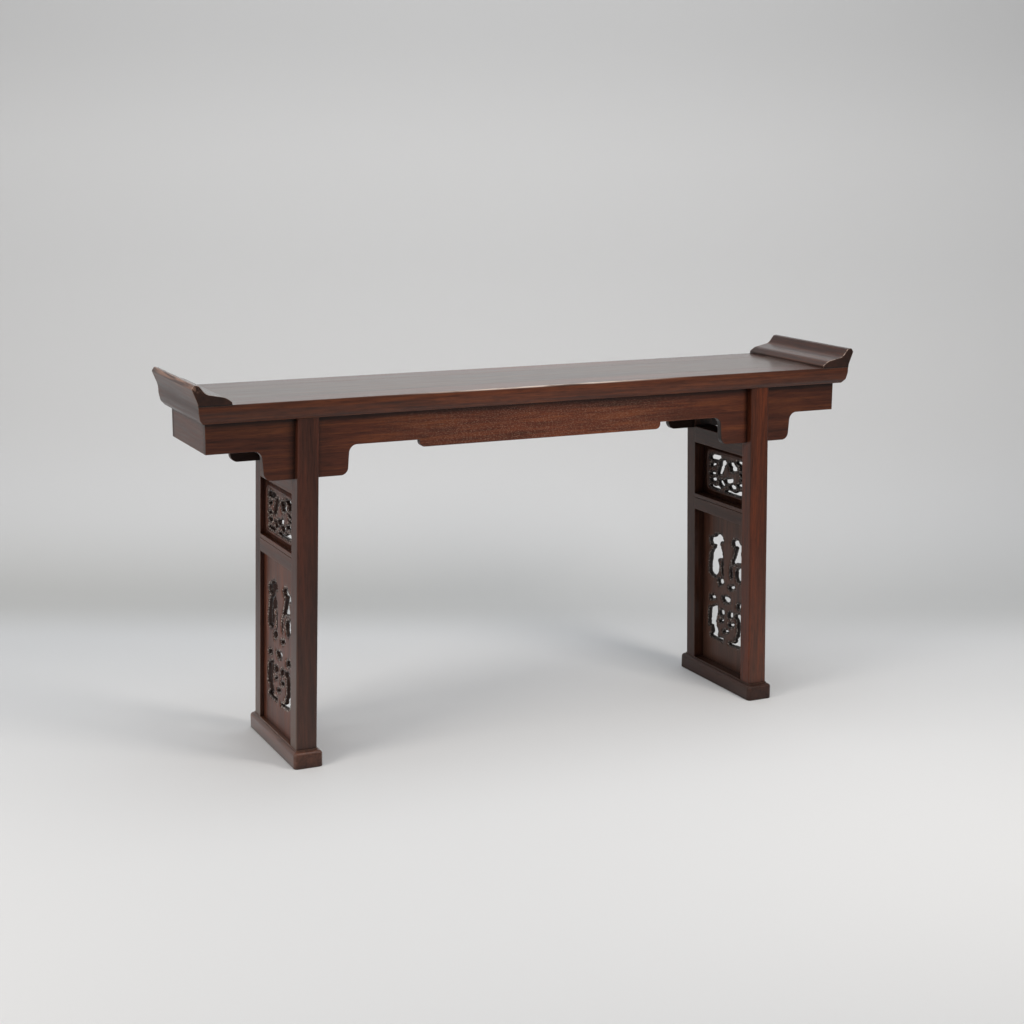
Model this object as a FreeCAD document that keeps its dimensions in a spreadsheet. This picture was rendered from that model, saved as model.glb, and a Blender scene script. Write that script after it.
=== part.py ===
import FreeCAD, Part
import math
import os
import Sketcher
from FreeCAD import Placement, Rotation, Vector

# A chinese recessed-leg altar table with everted end flanges.
# Frame of reference: +Z up, +X along the table to its right end, -Y towards
# the front, origin on the floor under the middle of the table. Millimetres.


# Driving dimensions

# The mitred top frame with its floating board
TOP_SIZES = {
    "top_height": 860.0,
    "top_length": 1704.0,
    "top_depth": 343.0,
    "top_thickness": 42.0,
    "top_arris_round": 1.5,
    "frame_width": 80.0,
    "corner_tenon_length": 62.0,
    "corner_tenon_width": 30.0,
    "corner_tenon_thickness": 14.0,
    "corner_tenon_rise": 13.0,
    "corner_tenon_inset": 14.0,
    "board_thickness": 18.0,
    "board_gap": 0.3,
    "tongue_length": 8.0,
    "tongue_thickness": 8.0,
    "tongue_cover": 7.0,
    "batten_spacing": 390.0,
    "batten_width": 36.0,
    "batten_lift": 2.0,
    "batten_key_depth": 6.0,
    "batten_key_flare": 4.0,
    "batten_tenon_length": 18.0,
    "batten_tenon_width": 24.0,
    "batten_tenon_thickness": 12.0,
}

# The moulded edge of the top frame, from its underside up to where it stands plumb:
# how far each corner stands in, its height above the underside and its rounding,
# as shares of the top's thickness
TOP_EDGE_SHARES = ((0.274, 0.0, 0.07), (0.083, 0.24, 0.28), (0.0, 0.66, 0.95))

# The everted flanges that are worked on the end members of the frame
FLANGE_SIZES = {
    "flange_width": 76.0,
    "flange_height": 47.5,
    "flange_overhang": 14.0,
    "flange_tip_drop": 9.5,
    "flange_tip_inset": 6.0,
    "flange_tip_thickness": 16.0,
    "flange_ridge_fall": 2.0,
    "flange_neck_rise": 3.0,
    "flange_neck_round": 55.0,
    "flange_tip_round": 5.0,
    "flange_hollow_run": 44.0,
    "flange_hollow_height": 25.5,
    "flange_hollow_round": 20.0,
    "flange_crown_run": 14.0,
    "flange_crown_height": 16.5,
    "flange_crown_round": 30.0,
    "flange_toe_height": 6.0,
    "flange_toe_round": 2.0,
}

# The long aprons with their spandrels, and the short end aprons
APRON_SIZES = {
    "apron_end_inset": 22.0,
    "apron_face_inset": 33.1,
    "apron_thickness": 16.0,
    "apron_height": 71.5,
    "apron_housing": 6.0,
    "apron_edge_round": 1.6,
    "drop_gap": 172.5,
    "drop_depth": 17.5,
    "drop_round": 13.0,
    "spandrel_shift": 1.0,
    "spandrel_width": 209.0,
    "spandrel_batter": 5.5,
    "spandrel_depth": 69.5,
    "spandrel_hollow_round": 20.0,
    "spandrel_toe_round": 18.0,
    "end_apron_tongue": 6.0,
    "end_apron_tongue_thickness": 8.0,
}

# The two splayed trestles: legs, rails and feet
TRESTLE_SIZES = {
    "leg_inset": 233.0,
    "leg_width": 51.0,
    "leg_depth": 42.3,
    "leg_stand_out": 20.3,
    "leg_round": 5.0,
    "leg_head_tenon_height": 20.0,
    "leg_head_tenon_width": 30.0,
    "leg_head_tenon_thickness": 12.0,
    "leg_foot_tenon_height": 25.0,
    "leg_foot_tenon_width": 30.0,
    "leg_foot_tenon_thickness": 20.0,
    "top_rail_top": 136.5,
    "top_rail_height": 42.7,
    "mid_rail_top": 318.9,
    "mid_rail_height": 41.9,
    "mid_rail_bead": 9.0,
    "mid_rail_quirk": 1.8,
    "rail_tenon_length": 26.0,
    "rail_tenon_thickness": 14.0,
    "rail_tenon_shoulder": 7.0,
    "foot_spread": 20.5,
    "foot_side_reach": 9.75,
    "foot_end_reach": 14.6,
    "foot_height": 42.0,
    "foot_corner_round": 10.0,
    "foot_shoulder_round": 9.0,
    "foot_seat_rise": 3.0,
    "foot_seat_margin": 3.0,
    "foot_seat_side_margin": 1.0,
    "foot_base_chamfer": 1.5,
}

# The carved openwork panels of the trestles
PANEL_SIZES = {
    "panel_thickness": 13.0,
    "panel_recess": 10.0,
    "panel_tongue": 8.0,
    "upper_window_side": 21.4,
    "upper_window_rise": 16.0,
    "upper_window_head": 19.7,
    "upper_window_round": 14.0,
    "upper_bead_width": 4.5,
    "upper_bead_height": 1.6,
    "lower_window_side": 23.4,
    "lower_window_rise": 61.0,
    "lower_window_head": 51.2,
    "carving_round": 3.4,
}

# How far a cutting shape reaches past what it cuts
TOOL_SIZES = {"cut_overrun": 30.0}


# Carved openings, as shares of half the window's width, towards the back, and of its
# full height. The carving is not symmetrical, so each opening is listed.
LOWER_SHARES = (
    # the two large cloud openings of the upper tier, and the slot under one
    ((0.591, 0.964), (0.344, 0.98), (0.215, 0.957), (0.172, 0.921), (0.344, 0.911), (0.398, 0.884),
     (0.312, 0.858), (0.237, 0.812), (0.215, 0.769), (0.484, 0.749), (0.419, 0.68), (0.441, 0.637),
     (0.581, 0.581), (0.806, 0.587), (0.914, 0.601), (0.925, 0.65), (0.86, 0.776), (0.785, 0.809),
     (0.699, 0.832), (0.667, 0.865), (0.849, 0.858), (0.903, 0.884), (0.882, 0.917),
     (0.656, 0.937)),
    ((-0.387, 0.977), (-0.602, 0.98), (-0.667, 0.954), (-0.849, 0.937), (-0.882, 0.904),
     (-0.72, 0.888), (-0.731, 0.858), (-0.774, 0.825), (-0.785, 0.785), (-0.495, 0.772),
     (-0.312, 0.749), (-0.247, 0.762), (-0.344, 0.805), (-0.462, 0.884), (-0.505, 0.904),
     (-0.441, 0.917), (-0.301, 0.914), (-0.269, 0.941)),
    ((-0.559, 0.729), (-0.839, 0.756), (-0.86, 0.706), (-0.839, 0.65), (-0.72, 0.611),
     (-0.538, 0.62), (-0.484, 0.663), (-0.473, 0.703)),
    # the slits beside the post
    ((0.247, 0.743), (0.194, 0.736), (0.194, 0.62), (0.258, 0.617), (0.28, 0.677)),
    ((-0.194, 0.736), (-0.247, 0.729), (-0.28, 0.677), (-0.269, 0.617), (-0.194, 0.62),
     (-0.172, 0.68)),
    # the leaves and the crescent above the vase
    ((0.441, 0.568), (0.194, 0.584), (0.14, 0.554), (0.376, 0.512), (0.462, 0.541)),
    ((-0.086, 0.531), (-0.355, 0.561), (-0.462, 0.551), (-0.301, 0.521), (-0.118, 0.515)),
    ((0.247, 0.422), (-0.054, 0.439), (-0.204, 0.432), (-0.194, 0.406), (0.011, 0.376),
     (0.151, 0.38), (0.237, 0.399)),
    # the points above its shoulders
    ((0.871, 0.386), (0.634, 0.403), (0.548, 0.383), (0.817, 0.356), (0.914, 0.363)),
    ((-0.602, 0.413), (-0.849, 0.429), (-0.86, 0.389), (-0.516, 0.363)),
    # the sides of the vase
    ((0.634, 0.31), (0.484, 0.32), (0.462, 0.271), (0.57, 0.175), (0.538, 0.129), (0.462, 0.106),
     (0.43, 0.083), (0.484, 0.056), (0.462, 0.03), (0.129, 0.043), (0.194, 0.013), (0.892, 0.02),
     (0.806, 0.04), (0.763, 0.059), (0.817, 0.116), (0.957, 0.112), (0.935, 0.244),
     (0.892, 0.274)),
    ((-0.462, 0.31), (-0.72, 0.327), (-0.817, 0.3), (-0.86, 0.244), (-0.86, 0.056),
     (-0.677, 0.026), (-0.183, 0.013), (-0.118, 0.026), (-0.398, 0.04), (-0.462, 0.05),
     (-0.484, 0.083), (-0.581, 0.116), (-0.602, 0.185), (-0.591, 0.234), (-0.538, 0.271),
     (-0.452, 0.277)),
    # the drops, tears and slot on its body
    ((0.387, 0.287), (0.161, 0.304), (0.086, 0.271), (0.312, 0.241), (0.387, 0.257)),
    ((0.409, 0.188), (0.161, 0.221), (0.14, 0.205), (0.344, 0.178)),
    ((-0.097, 0.294), (-0.323, 0.32), (-0.366, 0.284), (-0.194, 0.251), (-0.075, 0.257)),
    ((-0.14, 0.201), (-0.376, 0.221), (-0.441, 0.205), (-0.226, 0.175), (-0.097, 0.182)),
    ((0.194, 0.112), (-0.054, 0.135), (-0.151, 0.129), (0.043, 0.102), (0.183, 0.099)),
)
UPPER_SHARES = (
    # the four corners
    ((0.779, 0.913), (0.253, 0.942), (0.495, 0.788), (0.926, 0.769), (0.926, 0.846)),
    ((-0.537, 0.923), (-0.695, 0.942), (-0.811, 0.923), (-0.884, 0.865), (-0.926, 0.788),
     (-0.874, 0.74), (-0.642, 0.692), (-0.611, 0.731), (-0.642, 0.798), (-0.568, 0.837),
     (-0.4, 0.875)),
    ((0.926, 0.096), (0.737, 0.125), (0.674, 0.096), (0.547, 0.135), (0.421, 0.135),
     (0.326, 0.038), (0.842, 0.048)),
    ((-0.105, 0.115), (-0.368, 0.087), (-0.432, 0.106), (-0.537, 0.163), (-0.779, 0.183),
     (-0.905, 0.163), (-0.863, 0.087), (-0.526, 0.029), (0.147, 0.038), (0.074, 0.077)),
    # the short slots at both sides of the ring
    ((0.884, 0.644), (0.674, 0.702), (0.589, 0.692), (0.611, 0.654), (0.789, 0.596),
     (0.895, 0.596)),
    ((0.916, 0.423), (0.726, 0.462), (0.632, 0.452), (0.621, 0.413), (0.789, 0.375),
     (0.916, 0.375)),
    ((0.895, 0.269), (0.663, 0.327), (0.589, 0.308), (0.568, 0.26), (0.758, 0.202),
     (0.884, 0.221)),
    ((-0.874, 0.577), (-0.695, 0.635), (-0.611, 0.625), (-0.632, 0.587), (-0.8, 0.538),
     (-0.895, 0.538)),
    ((-0.916, 0.462), (-0.758, 0.5), (-0.653, 0.49), (-0.653, 0.452), (-0.8, 0.423),
     (-0.916, 0.423)),
    ((-0.505, 0.327), (-0.737, 0.385), (-0.842, 0.356), (-0.821, 0.298), (-0.6, 0.269),
     (-0.474, 0.288)),
    # the openings inside the ring, round the coiled body
    ((0.326, 0.817), (0.116, 0.856), (0.063, 0.798), (0.074, 0.74), (0.168, 0.712), (0.168, 0.644),
     (0.284, 0.462), (0.516, 0.413), (0.516, 0.471), (0.411, 0.673), (0.4, 0.74)),
    ((-0.147, 0.837), (-0.295, 0.856), (-0.379, 0.798), (-0.4, 0.769), (-0.484, 0.75),
     (-0.505, 0.683), (-0.368, 0.635), (-0.168, 0.606), (-0.116, 0.654), (-0.147, 0.712),
     (-0.063, 0.74), (-0.032, 0.798)),
    ((0.168, 0.346), (-0.253, 0.442), (-0.305, 0.394), (-0.263, 0.337), (-0.095, 0.279),
     (0.063, 0.25), (0.158, 0.279)),
    ((-0.242, 0.288), (-0.389, 0.269), (-0.442, 0.24), (-0.421, 0.192), (-0.242, 0.144),
     (-0.126, 0.154), (-0.084, 0.183), (-0.084, 0.231)),
    ((0.484, 0.279), (0.274, 0.317), (0.189, 0.26), (0.126, 0.192), (0.305, 0.144),
     (0.421, 0.192)),
)
# The most of an opening's side that the rounding of one corner may take
EASING_SHARE = 0.48


# Sizes that know their formula

class Size:
    """A number together with the formula that gives it from the sheet's cells."""

    def __init__(self, value, text):
        self.value = value
        self.text = text

    def __add__(self, other):
        other = as_size(other)
        return Size(self.value + other.value, f"({self.text} + {other.text})")

    def __radd__(self, other):
        return as_size(other) + self

    def __sub__(self, other):
        other = as_size(other)
        return Size(self.value - other.value, f"({self.text} - {other.text})")

    def __rsub__(self, other):
        return as_size(other) - self

    def __mul__(self, other):
        other = as_size(other)
        return Size(self.value * other.value, f"({self.text} * {other.text})")

    def __rmul__(self, other):
        return as_size(other) * self

    def __truediv__(self, other):
        other = as_size(other)
        return Size(self.value / other.value, f"({self.text} / {other.text})")

    def __neg__(self):
        return Size(-self.value, f"(0 - {self.text})")


def as_size(number):
    if isinstance(number, Size):
        return number
    return Size(float(number), repr(float(number)))


def angle_of(rise, run):
    ratio = as_size(rise) / run
    return Size(math.degrees(math.atan(ratio.value)), f"atan({ratio.text})")


def sine(angle):
    return Size(math.sin(math.radians(angle.value)), f"sin({angle.text})")


def cosine(angle):
    return Size(math.cos(math.radians(angle.value)), f"cos({angle.text})")


def bind(thing, path, size):
    """Bind one property of an object to a size's formula."""
    size = as_size(size)
    thing.setExpression(path, size.text)


# The document and its sheet

doc = FreeCAD.newDocument("altar_table")
sheet = doc.addObject("Spreadsheet::Sheet", "Sizes")


def fill_sheet(groups):
    """Write every driving dimension in the sheet and return them by name."""
    sizes = {}
    row = 1
    for group in groups:
        for name, value in group.items():
            sheet.set(f"A{row}", name)
            sheet.set(f"B{row}", str(value))
            sheet.setAlias(f"B{row}", name)
            row += 1
    doc.recompute()
    for group in groups:
        for name in group:
            sizes[name] = Size(float(sheet.get(name)), f"Sizes.{name}")
    return sizes


sizes = fill_sheet((TOP_SIZES, FLANGE_SIZES, APRON_SIZES, TRESTLE_SIZES, PANEL_SIZES, TOOL_SIZES))


# Places worked out from the driving dimensions

half_length = sizes["top_length"] / 2
half_depth = sizes["top_depth"] / 2
underside = sizes["top_height"] - sizes["top_thickness"]
board_half_length = half_length - sizes["frame_width"]
board_half_depth = half_depth - sizes["frame_width"]
apron_half_length = half_length - sizes["apron_end_inset"]
apron_face = half_depth - sizes["apron_face_inset"]
apron_back_face = apron_face - sizes["apron_thickness"]
apron_bottom = underside - sizes["apron_height"]
leg_centre = apron_half_length - sizes["leg_inset"]
leg_face = apron_face + sizes["leg_stand_out"]
leg_inner_face = leg_face - sizes["leg_depth"]
half_leg = sizes["leg_width"] / 2
foot_run = underside - sizes["foot_height"]
splay = angle_of(sizes["foot_spread"], foot_run)
overrun = sizes["cut_overrun"]
slack = 1e-4

# Heights on a trestle, counted upwards from the underside of the top
top_rail_bottom = -(sizes["top_rail_top"] + sizes["top_rail_height"])
mid_rail_bottom = -(sizes["mid_rail_top"] + sizes["mid_rail_height"])

# The windows of the carved panels: half their width, their lower edge and their height
upper_window_half = leg_inner_face - sizes["upper_window_side"]
upper_window_bottom = sizes["upper_window_rise"] - sizes["mid_rail_top"]
upper_window_height = top_rail_bottom - sizes["upper_window_head"] - upper_window_bottom
lower_window_half = leg_inner_face - sizes["lower_window_side"]
lower_window_bottom = sizes["lower_window_rise"] - foot_run
lower_window_height = mid_rail_bottom - sizes["lower_window_head"] - lower_window_bottom


# Helpers that draw and combine

def sketch_outline(owner, name, plane, corners, lift=0):
    """Closed outline through corners (x, y, rounding), every one bound to the sheet."""
    sketch = owner.newObject("Sketcher::SketchObject", name)
    for feature in owner.Origin.OriginFeatures:
        if feature.Role == plane:
            sketch.AttachmentSupport = [(feature, "")]
    sketch.MapMode = "FlatFace"
    if lift:
        bind(sketch, "AttachmentOffset.Base.z", lift)
    corners = [(as_size(x), as_size(y), r) for x, y, r in corners]
    count = len(corners)
    spots = [Vector(x.value, y.value, 0) for x, y, r in corners]
    entries = []
    exits = []
    for index, (x, y, r) in enumerate(corners):
        before = (spots[index - 1] - spots[index]).normalize()
        after = (spots[(index + 1) % count] - spots[index]).normalize()
        half_turn = before.getAngle(after) / 2
        reach = as_size(r).value / math.tan(half_turn) if r else 0
        entries.append(spots[index] + before * reach)
        exits.append(spots[index] + after * reach)
    lines = []
    for index in range(count):
        segment = Part.LineSegment(exits[index], entries[(index + 1) % count])
        lines.append(sketch.addGeometry(segment, False))
    for index, (x, y, r) in enumerate(corners):
        line_in = lines[index - 1]
        line_out = lines[index]
        if not r:
            sketch.addConstraint(Sketcher.Constraint("Coincident", line_in, 2, line_out, 1))
            pin_point(sketch, line_out, 1, x, y)
            continue
        corner_point = sketch.addGeometry(Part.Point(spots[index]), True)
        pin_point(sketch, corner_point, 1, x, y)
        sketch.addConstraint(Sketcher.Constraint("PointOnObject", corner_point, 1, line_in))
        sketch.addConstraint(Sketcher.Constraint("PointOnObject", corner_point, 1, line_out))
        add_corner_arc(sketch, spots[index], entries[index], exits[index], line_in, line_out, r)
    return sketch


def pin_point(sketch, geometry, end, x, y):
    """Hold one point of a sketch at its two bound distances from the origin."""
    for rule, axis, size in (("DistanceX", -1, x), ("DistanceY", -1, y)):
        if size.text == repr(0.0):
            on_axis = -2 if rule == "DistanceX" else -1
            sketch.addConstraint(Sketcher.Constraint("PointOnObject", geometry, end, on_axis))
            continue
        number = sketch.addConstraint(Sketcher.Constraint(rule, axis, 1, geometry, end, size.value))
        bind(sketch, f"Constraints[{number}]", size)


def add_corner_arc(sketch, corner, entry, leave, line_in, line_out, radius):
    """Round one corner with an arc that is tangent to both lines."""
    middle = (entry + leave) * 0.5
    inward = (middle - corner).normalize()
    half_chord = (leave - entry).Length / 2
    reach = (entry - corner).Length
    radius_value = as_size(radius).value
    centre = corner + inward * math.hypot(reach, radius_value)
    nearest = centre - inward * radius_value
    arc = sketch.addGeometry(Part.Arc(entry, nearest, leave), False)
    first_is_entry = sketch.getPoint(arc, 1).distanceToPoint(entry) < half_chord / 2
    start_end, leave_end = (1, 2) if first_is_entry else (2, 1)
    sketch.addConstraint(Sketcher.Constraint("Tangent", line_in, 2, arc, start_end))
    sketch.addConstraint(Sketcher.Constraint("Tangent", arc, leave_end, line_out, 1))
    number = sketch.addConstraint(Sketcher.Constraint("Radius", arc, radius_value))
    bind(sketch, f"Constraints[{number}]", radius)


def pad(body, name, sketch, length, side="One side", reverse=False):
    feature = body.newObject("PartDesign::Pad", name)
    feature.Profile = sketch
    feature.SideType = side
    feature.Reversed = reverse
    bind(feature, "Length", length)
    sketch.Visibility = False
    return feature


def padded_body(name, plane, corners, length, side="One side", lift=0, reverse=False):
    """One body that is a single outline given a length."""
    body = doc.addObject("PartDesign::Body", name)
    sketch = sketch_outline(body, f"{name}_outline", plane, corners, lift)
    pad(body, f"{name}_pad", sketch, length, side, reverse)
    return body


def rectangle(half_width, half_height, rounding=0):
    return [
        (-half_width, -half_height, rounding),
        (half_width, -half_height, rounding),
        (half_width, half_height, rounding),
        (-half_width, half_height, rounding),
    ]


def box(name, low, high):
    """Block between two corners given as sizes."""
    block = doc.addObject("Part::Box", name)
    for axis, side, start, end in zip("xyz", ("Length", "Width", "Height"), low, high):
        bind(block, side, as_size(end) - start)
        bind(block, f"Placement.Base.{axis}", start)
    return block


def join(name, shapes):
    joined = doc.addObject("Part::MultiFuse", name)
    joined.Shapes = shapes
    joined.Refine = True
    return joined


def shared_part(name, shapes):
    common = doc.addObject("Part::MultiCommon", name)
    common.Shapes = shapes
    return common


def cut(name, base, tools):
    """Take every tool away from the base; the last cut carries the name."""
    for number, tool in enumerate(tools):
        step = doc.addObject("Part::Cut", f"{name}_cut_{number}")
        step.Base = base
        step.Tool = tool
        base = step
    return base


nodes = {}


def finish(label, shape):
    shape.Label = label
    nodes[label] = shape


# Trestles stand in a frame of their own: across, along the table's depth, and up
# from the middle of the trestle's head, leaning outwards at the foot

def stand_in_trestle(thing, side, across=0, depth=0, up=0):
    """Place an object in the left (-1) or right (1) trestle's leaning frame."""
    across = as_size(across)
    up = as_size(up)
    thing.Placement = Placement(Vector(), Rotation(Vector(0, 1, 0), 1))
    bind(thing, "Placement.Rotation.Angle", -side * splay)
    bind(thing, "Placement.Base.x",
         side * leg_centre + across * cosine(splay) - side * (up * sine(splay)))
    bind(thing, "Placement.Base.y", depth)
    bind(thing, "Placement.Base.z",
         underside + side * (across * sine(splay)) + up * cosine(splay))
    return thing


def trestle_box(name, side, low, high):
    """Block between two corners given in a trestle's leaning frame."""
    block = doc.addObject("Part::Box", name)
    for edge, start, end in zip(("Length", "Width", "Height"), low, high):
        bind(block, edge, as_size(end) - start)
    return stand_in_trestle(block, side, *low)


def span(side, near, far):
    """Order two distances so that a mirrored block still has positive sides."""
    return (near, far) if side > 0 else (-as_size(far), -as_size(near))


SIDES = {"left": -1, "right": 1}
FACES = {"front": -1, "back": 1}


# The top

def moulded_edge(reach):
    """The corners of the top's moulded edge, whose plumb face stands at reach."""
    thickness = sizes["top_thickness"]
    return [(reach - thickness * inset, underside + thickness * rise, thickness * rounding)
            for inset, rise, rounding in TOP_EDGE_SHARES]


def turned_over(corners):
    return [(-x, z, r) for x, z, r in reversed(corners)]


def end_corners():
    """Half of the top's long section, from the bottom round to the flange's toe."""
    top = sizes["top_height"]
    tip = half_length + sizes["flange_overhang"]
    ridge = top + sizes["flange_height"]
    toe = half_length - sizes["flange_width"]
    crown = toe + sizes["flange_crown_run"]
    return moulded_edge(half_length) + [
        (half_length, top + sizes["flange_neck_rise"], sizes["flange_neck_round"]),
        (tip, ridge - sizes["flange_tip_drop"], sizes["flange_tip_round"]),
        (tip - sizes["flange_tip_inset"], ridge, sizes["flange_tip_round"]),
        (tip - sizes["flange_tip_thickness"], ridge - sizes["flange_ridge_fall"],
         sizes["flange_tip_round"]),
        (crown + sizes["flange_hollow_run"], top + sizes["flange_hollow_height"],
         sizes["flange_hollow_round"]),
        (crown, top + sizes["flange_crown_height"], sizes["flange_crown_round"]),
        (toe, top + sizes["flange_toe_height"], sizes["flange_toe_round"]),
        (toe, top, 0),
    ]


def build_top_sections():
    """The three solids whose common parts give the moulded frame members."""
    right = end_corners()
    long_section = padded_body("top_long_section", "XZ_Plane", right + turned_over(right),
                               sizes["top_depth"] + overrun, "Symmetric")
    arris = sizes["top_arris_round"]
    edge = moulded_edge(half_depth)
    rail_half = edge + [(half_depth, sizes["top_height"], arris)]
    rail_section = padded_body("top_rail_section", "YZ_Plane", rail_half + turned_over(rail_half),
                               sizes["top_length"] + overrun, "Symmetric")
    crest = sizes["top_height"] + sizes["flange_height"] + overrun
    end_half = edge + [(half_depth, crest, 0)]
    end_section = padded_body("top_end_section", "YZ_Plane", end_half + turned_over(end_half),
                              sizes["top_length"] + 2 * overrun, "Symmetric")
    return long_section, rail_section, end_section


def build_board():
    """The floating board: its body and the tongue that runs all round it."""
    top = sizes["top_height"]
    length = board_half_length - sizes["board_gap"]
    depth = board_half_depth - sizes["board_gap"]
    tongue_top = top - sizes["tongue_cover"]
    body = box("top_board_body", (-length, -depth, top - sizes["board_thickness"]),
               (length, depth, top))
    reach = sizes["tongue_length"]
    tongue = box("top_board_tongue",
                 (-(board_half_length + reach), -(board_half_depth + reach),
                  tongue_top - sizes["tongue_thickness"]),
                 (board_half_length + reach, board_half_depth + reach, tongue_top))
    return join("top_board_blank", [body, tongue])


def build_batten(name, place):
    """A cross batten: dovetail key into the board, a tenon into each long rail."""
    half = sizes["batten_width"] / 2
    key_bottom = sizes["top_height"] - sizes["board_thickness"]
    key_top = key_bottom + sizes["batten_key_depth"]
    flare = sizes["batten_key_flare"]
    bar = padded_body(f"{name}_bar", "XZ_Plane", [
        (place - half, underside + sizes["batten_lift"], 0),
        (place + half, underside + sizes["batten_lift"], 0),
        (place + half, key_bottom, 0),
        (place + half + flare, key_top, 0),
        (place - half - flare, key_top, 0),
        (place - half, key_bottom, 0),
    ], 2 * (board_half_depth - sizes["board_gap"]), "Symmetric")
    tenon_half = sizes["batten_tenon_width"] / 2
    tenon_reach = board_half_depth + sizes["batten_tenon_length"]
    tenon_middle = (underside + sizes["batten_lift"] + key_bottom) / 2
    tenon_rise = sizes["batten_tenon_thickness"] / 2
    tenon = box(f"{name}_tenons", (place - tenon_half, -tenon_reach, tenon_middle - tenon_rise),
                (place + tenon_half, tenon_reach, tenon_middle + tenon_rise))
    return join(f"{name}_whole", [bar, tenon])


def build_frame_rail(face, front, long_section, rail_section):
    """A long rail of the top frame: mitred ends with a tenon at each."""
    reach = half_length + overrun
    side = half_depth + overrun
    plan = padded_body(f"top_rail_{face}_plan", "XY_Plane", [
        (-reach, front * side, 0),
        (reach, front * side, 0),
        (board_half_length, front * board_half_depth, 0),
        (-board_half_length, front * board_half_depth, 0),
    ], sizes["top_height"] + overrun)
    mitred = shared_part(f"top_rail_{face}_mitred", [long_section, rail_section, plan])
    near = board_half_depth + sizes["corner_tenon_inset"]
    low, high = span(front, near, near + sizes["corner_tenon_width"])
    tenon_bottom = underside + sizes["corner_tenon_rise"]
    tenons = box(f"top_rail_{face}_tenons",
                 (-(board_half_length + sizes["corner_tenon_length"]), low, tenon_bottom),
                 (board_half_length + sizes["corner_tenon_length"], high,
                  tenon_bottom + sizes["corner_tenon_thickness"]))
    return join(f"top_rail_{face}_whole", [mitred, tenons])


def build_frame_end(name, side, long_section, end_section):
    """An end member of the top frame with its flange, before its joints are cut."""
    crest = sizes["top_height"] + sizes["flange_height"] + overrun
    low, high = span(side, board_half_length, half_length + overrun)
    region = box(f"top_end_{name}_region", (low, -(half_depth + overrun), underside - overrun),
                 (high, half_depth + overrun, crest))
    return shared_part(f"top_end_{name}_moulded", [long_section, end_section, region])


# The aprons

def apron_corners():
    """Right half of a long apron's lower edge, from its end in to the drop."""
    middle = leg_centre + sizes["spandrel_shift"]
    top_half = sizes["spandrel_width"] / 2
    bottom_half = top_half - sizes["spandrel_batter"]
    toe = apron_bottom - sizes["spandrel_depth"]
    hollow = sizes["spandrel_hollow_round"]
    toe_round = sizes["spandrel_toe_round"]
    drop_half = middle - top_half - sizes["drop_gap"]
    return [
        (apron_half_length, underside + sizes["apron_housing"], 0),
        (apron_half_length, apron_bottom, 0),
        (middle + top_half, apron_bottom, hollow),
        (middle + bottom_half, toe, toe_round),
        (middle - bottom_half, toe, toe_round),
        (middle - top_half, apron_bottom, hollow),
        (drop_half, apron_bottom, 0),
        (drop_half, apron_bottom - sizes["drop_depth"], sizes["drop_round"]),
    ]


def edges_below(shape, height, face_place):
    """Names of the lower edges that lie in one upright face of a board."""
    names = []
    for number, edge in enumerate(shape.Edges, 1):
        bounds = edge.BoundBox
        flat = abs(bounds.YMin - face_place) < slack and abs(bounds.YMax - face_place) < slack
        if flat and bounds.ZMin < height and bounds.ZMax < height + slack:
            names.append(f"Edge{number}")
    return names


def round_edges(body, name, base, edges, radius):
    feature = body.newObject("PartDesign::Fillet", name)
    feature.Base = (base, edges)
    bind(feature, "Radius", radius)
    doc.recompute()
    return feature


def build_long_apron(name, front):
    """A long apron and its spandrels in one board, eased along its lower edge."""
    right = apron_corners()
    left = [(-x, z, r) for x, z, r in reversed(right)]
    body = padded_body(f"apron_{name}_board", "XZ_Plane", right + left,
                       sizes["apron_thickness"], reverse=front > 0)
    inner = apron_back_face if front > 0 else -apron_back_face
    bind(body, "Placement.Base.y", inner)
    doc.recompute()
    board = body.Tip
    outer = front * sizes["apron_thickness"].value
    lower = edges_below(board.Shape, apron_bottom.value, outer)
    round_edges(body, f"apron_{name}_easing", board, lower, sizes["apron_edge_round"])
    return body


def build_end_apron(name, side):
    """A short end apron with a stub tongue at each end."""
    low, high = span(side, apron_half_length - sizes["apron_thickness"], apron_half_length)
    head = underside + sizes["apron_housing"]
    board = box(f"apron_{name}_board", (low, -apron_back_face, apron_bottom),
                (high, apron_back_face, head))
    middle = (low + high) / 2
    half = sizes["end_apron_tongue_thickness"] / 2
    reach = apron_back_face + sizes["end_apron_tongue"]
    foot = apron_bottom + sizes["apron_housing"]
    tongues = box(f"apron_{name}_tongues", (middle - half, -reach, foot),
                  (middle + half, reach, head))
    return join(f"apron_{name}_whole", [board, tongues])


# The trestles

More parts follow.
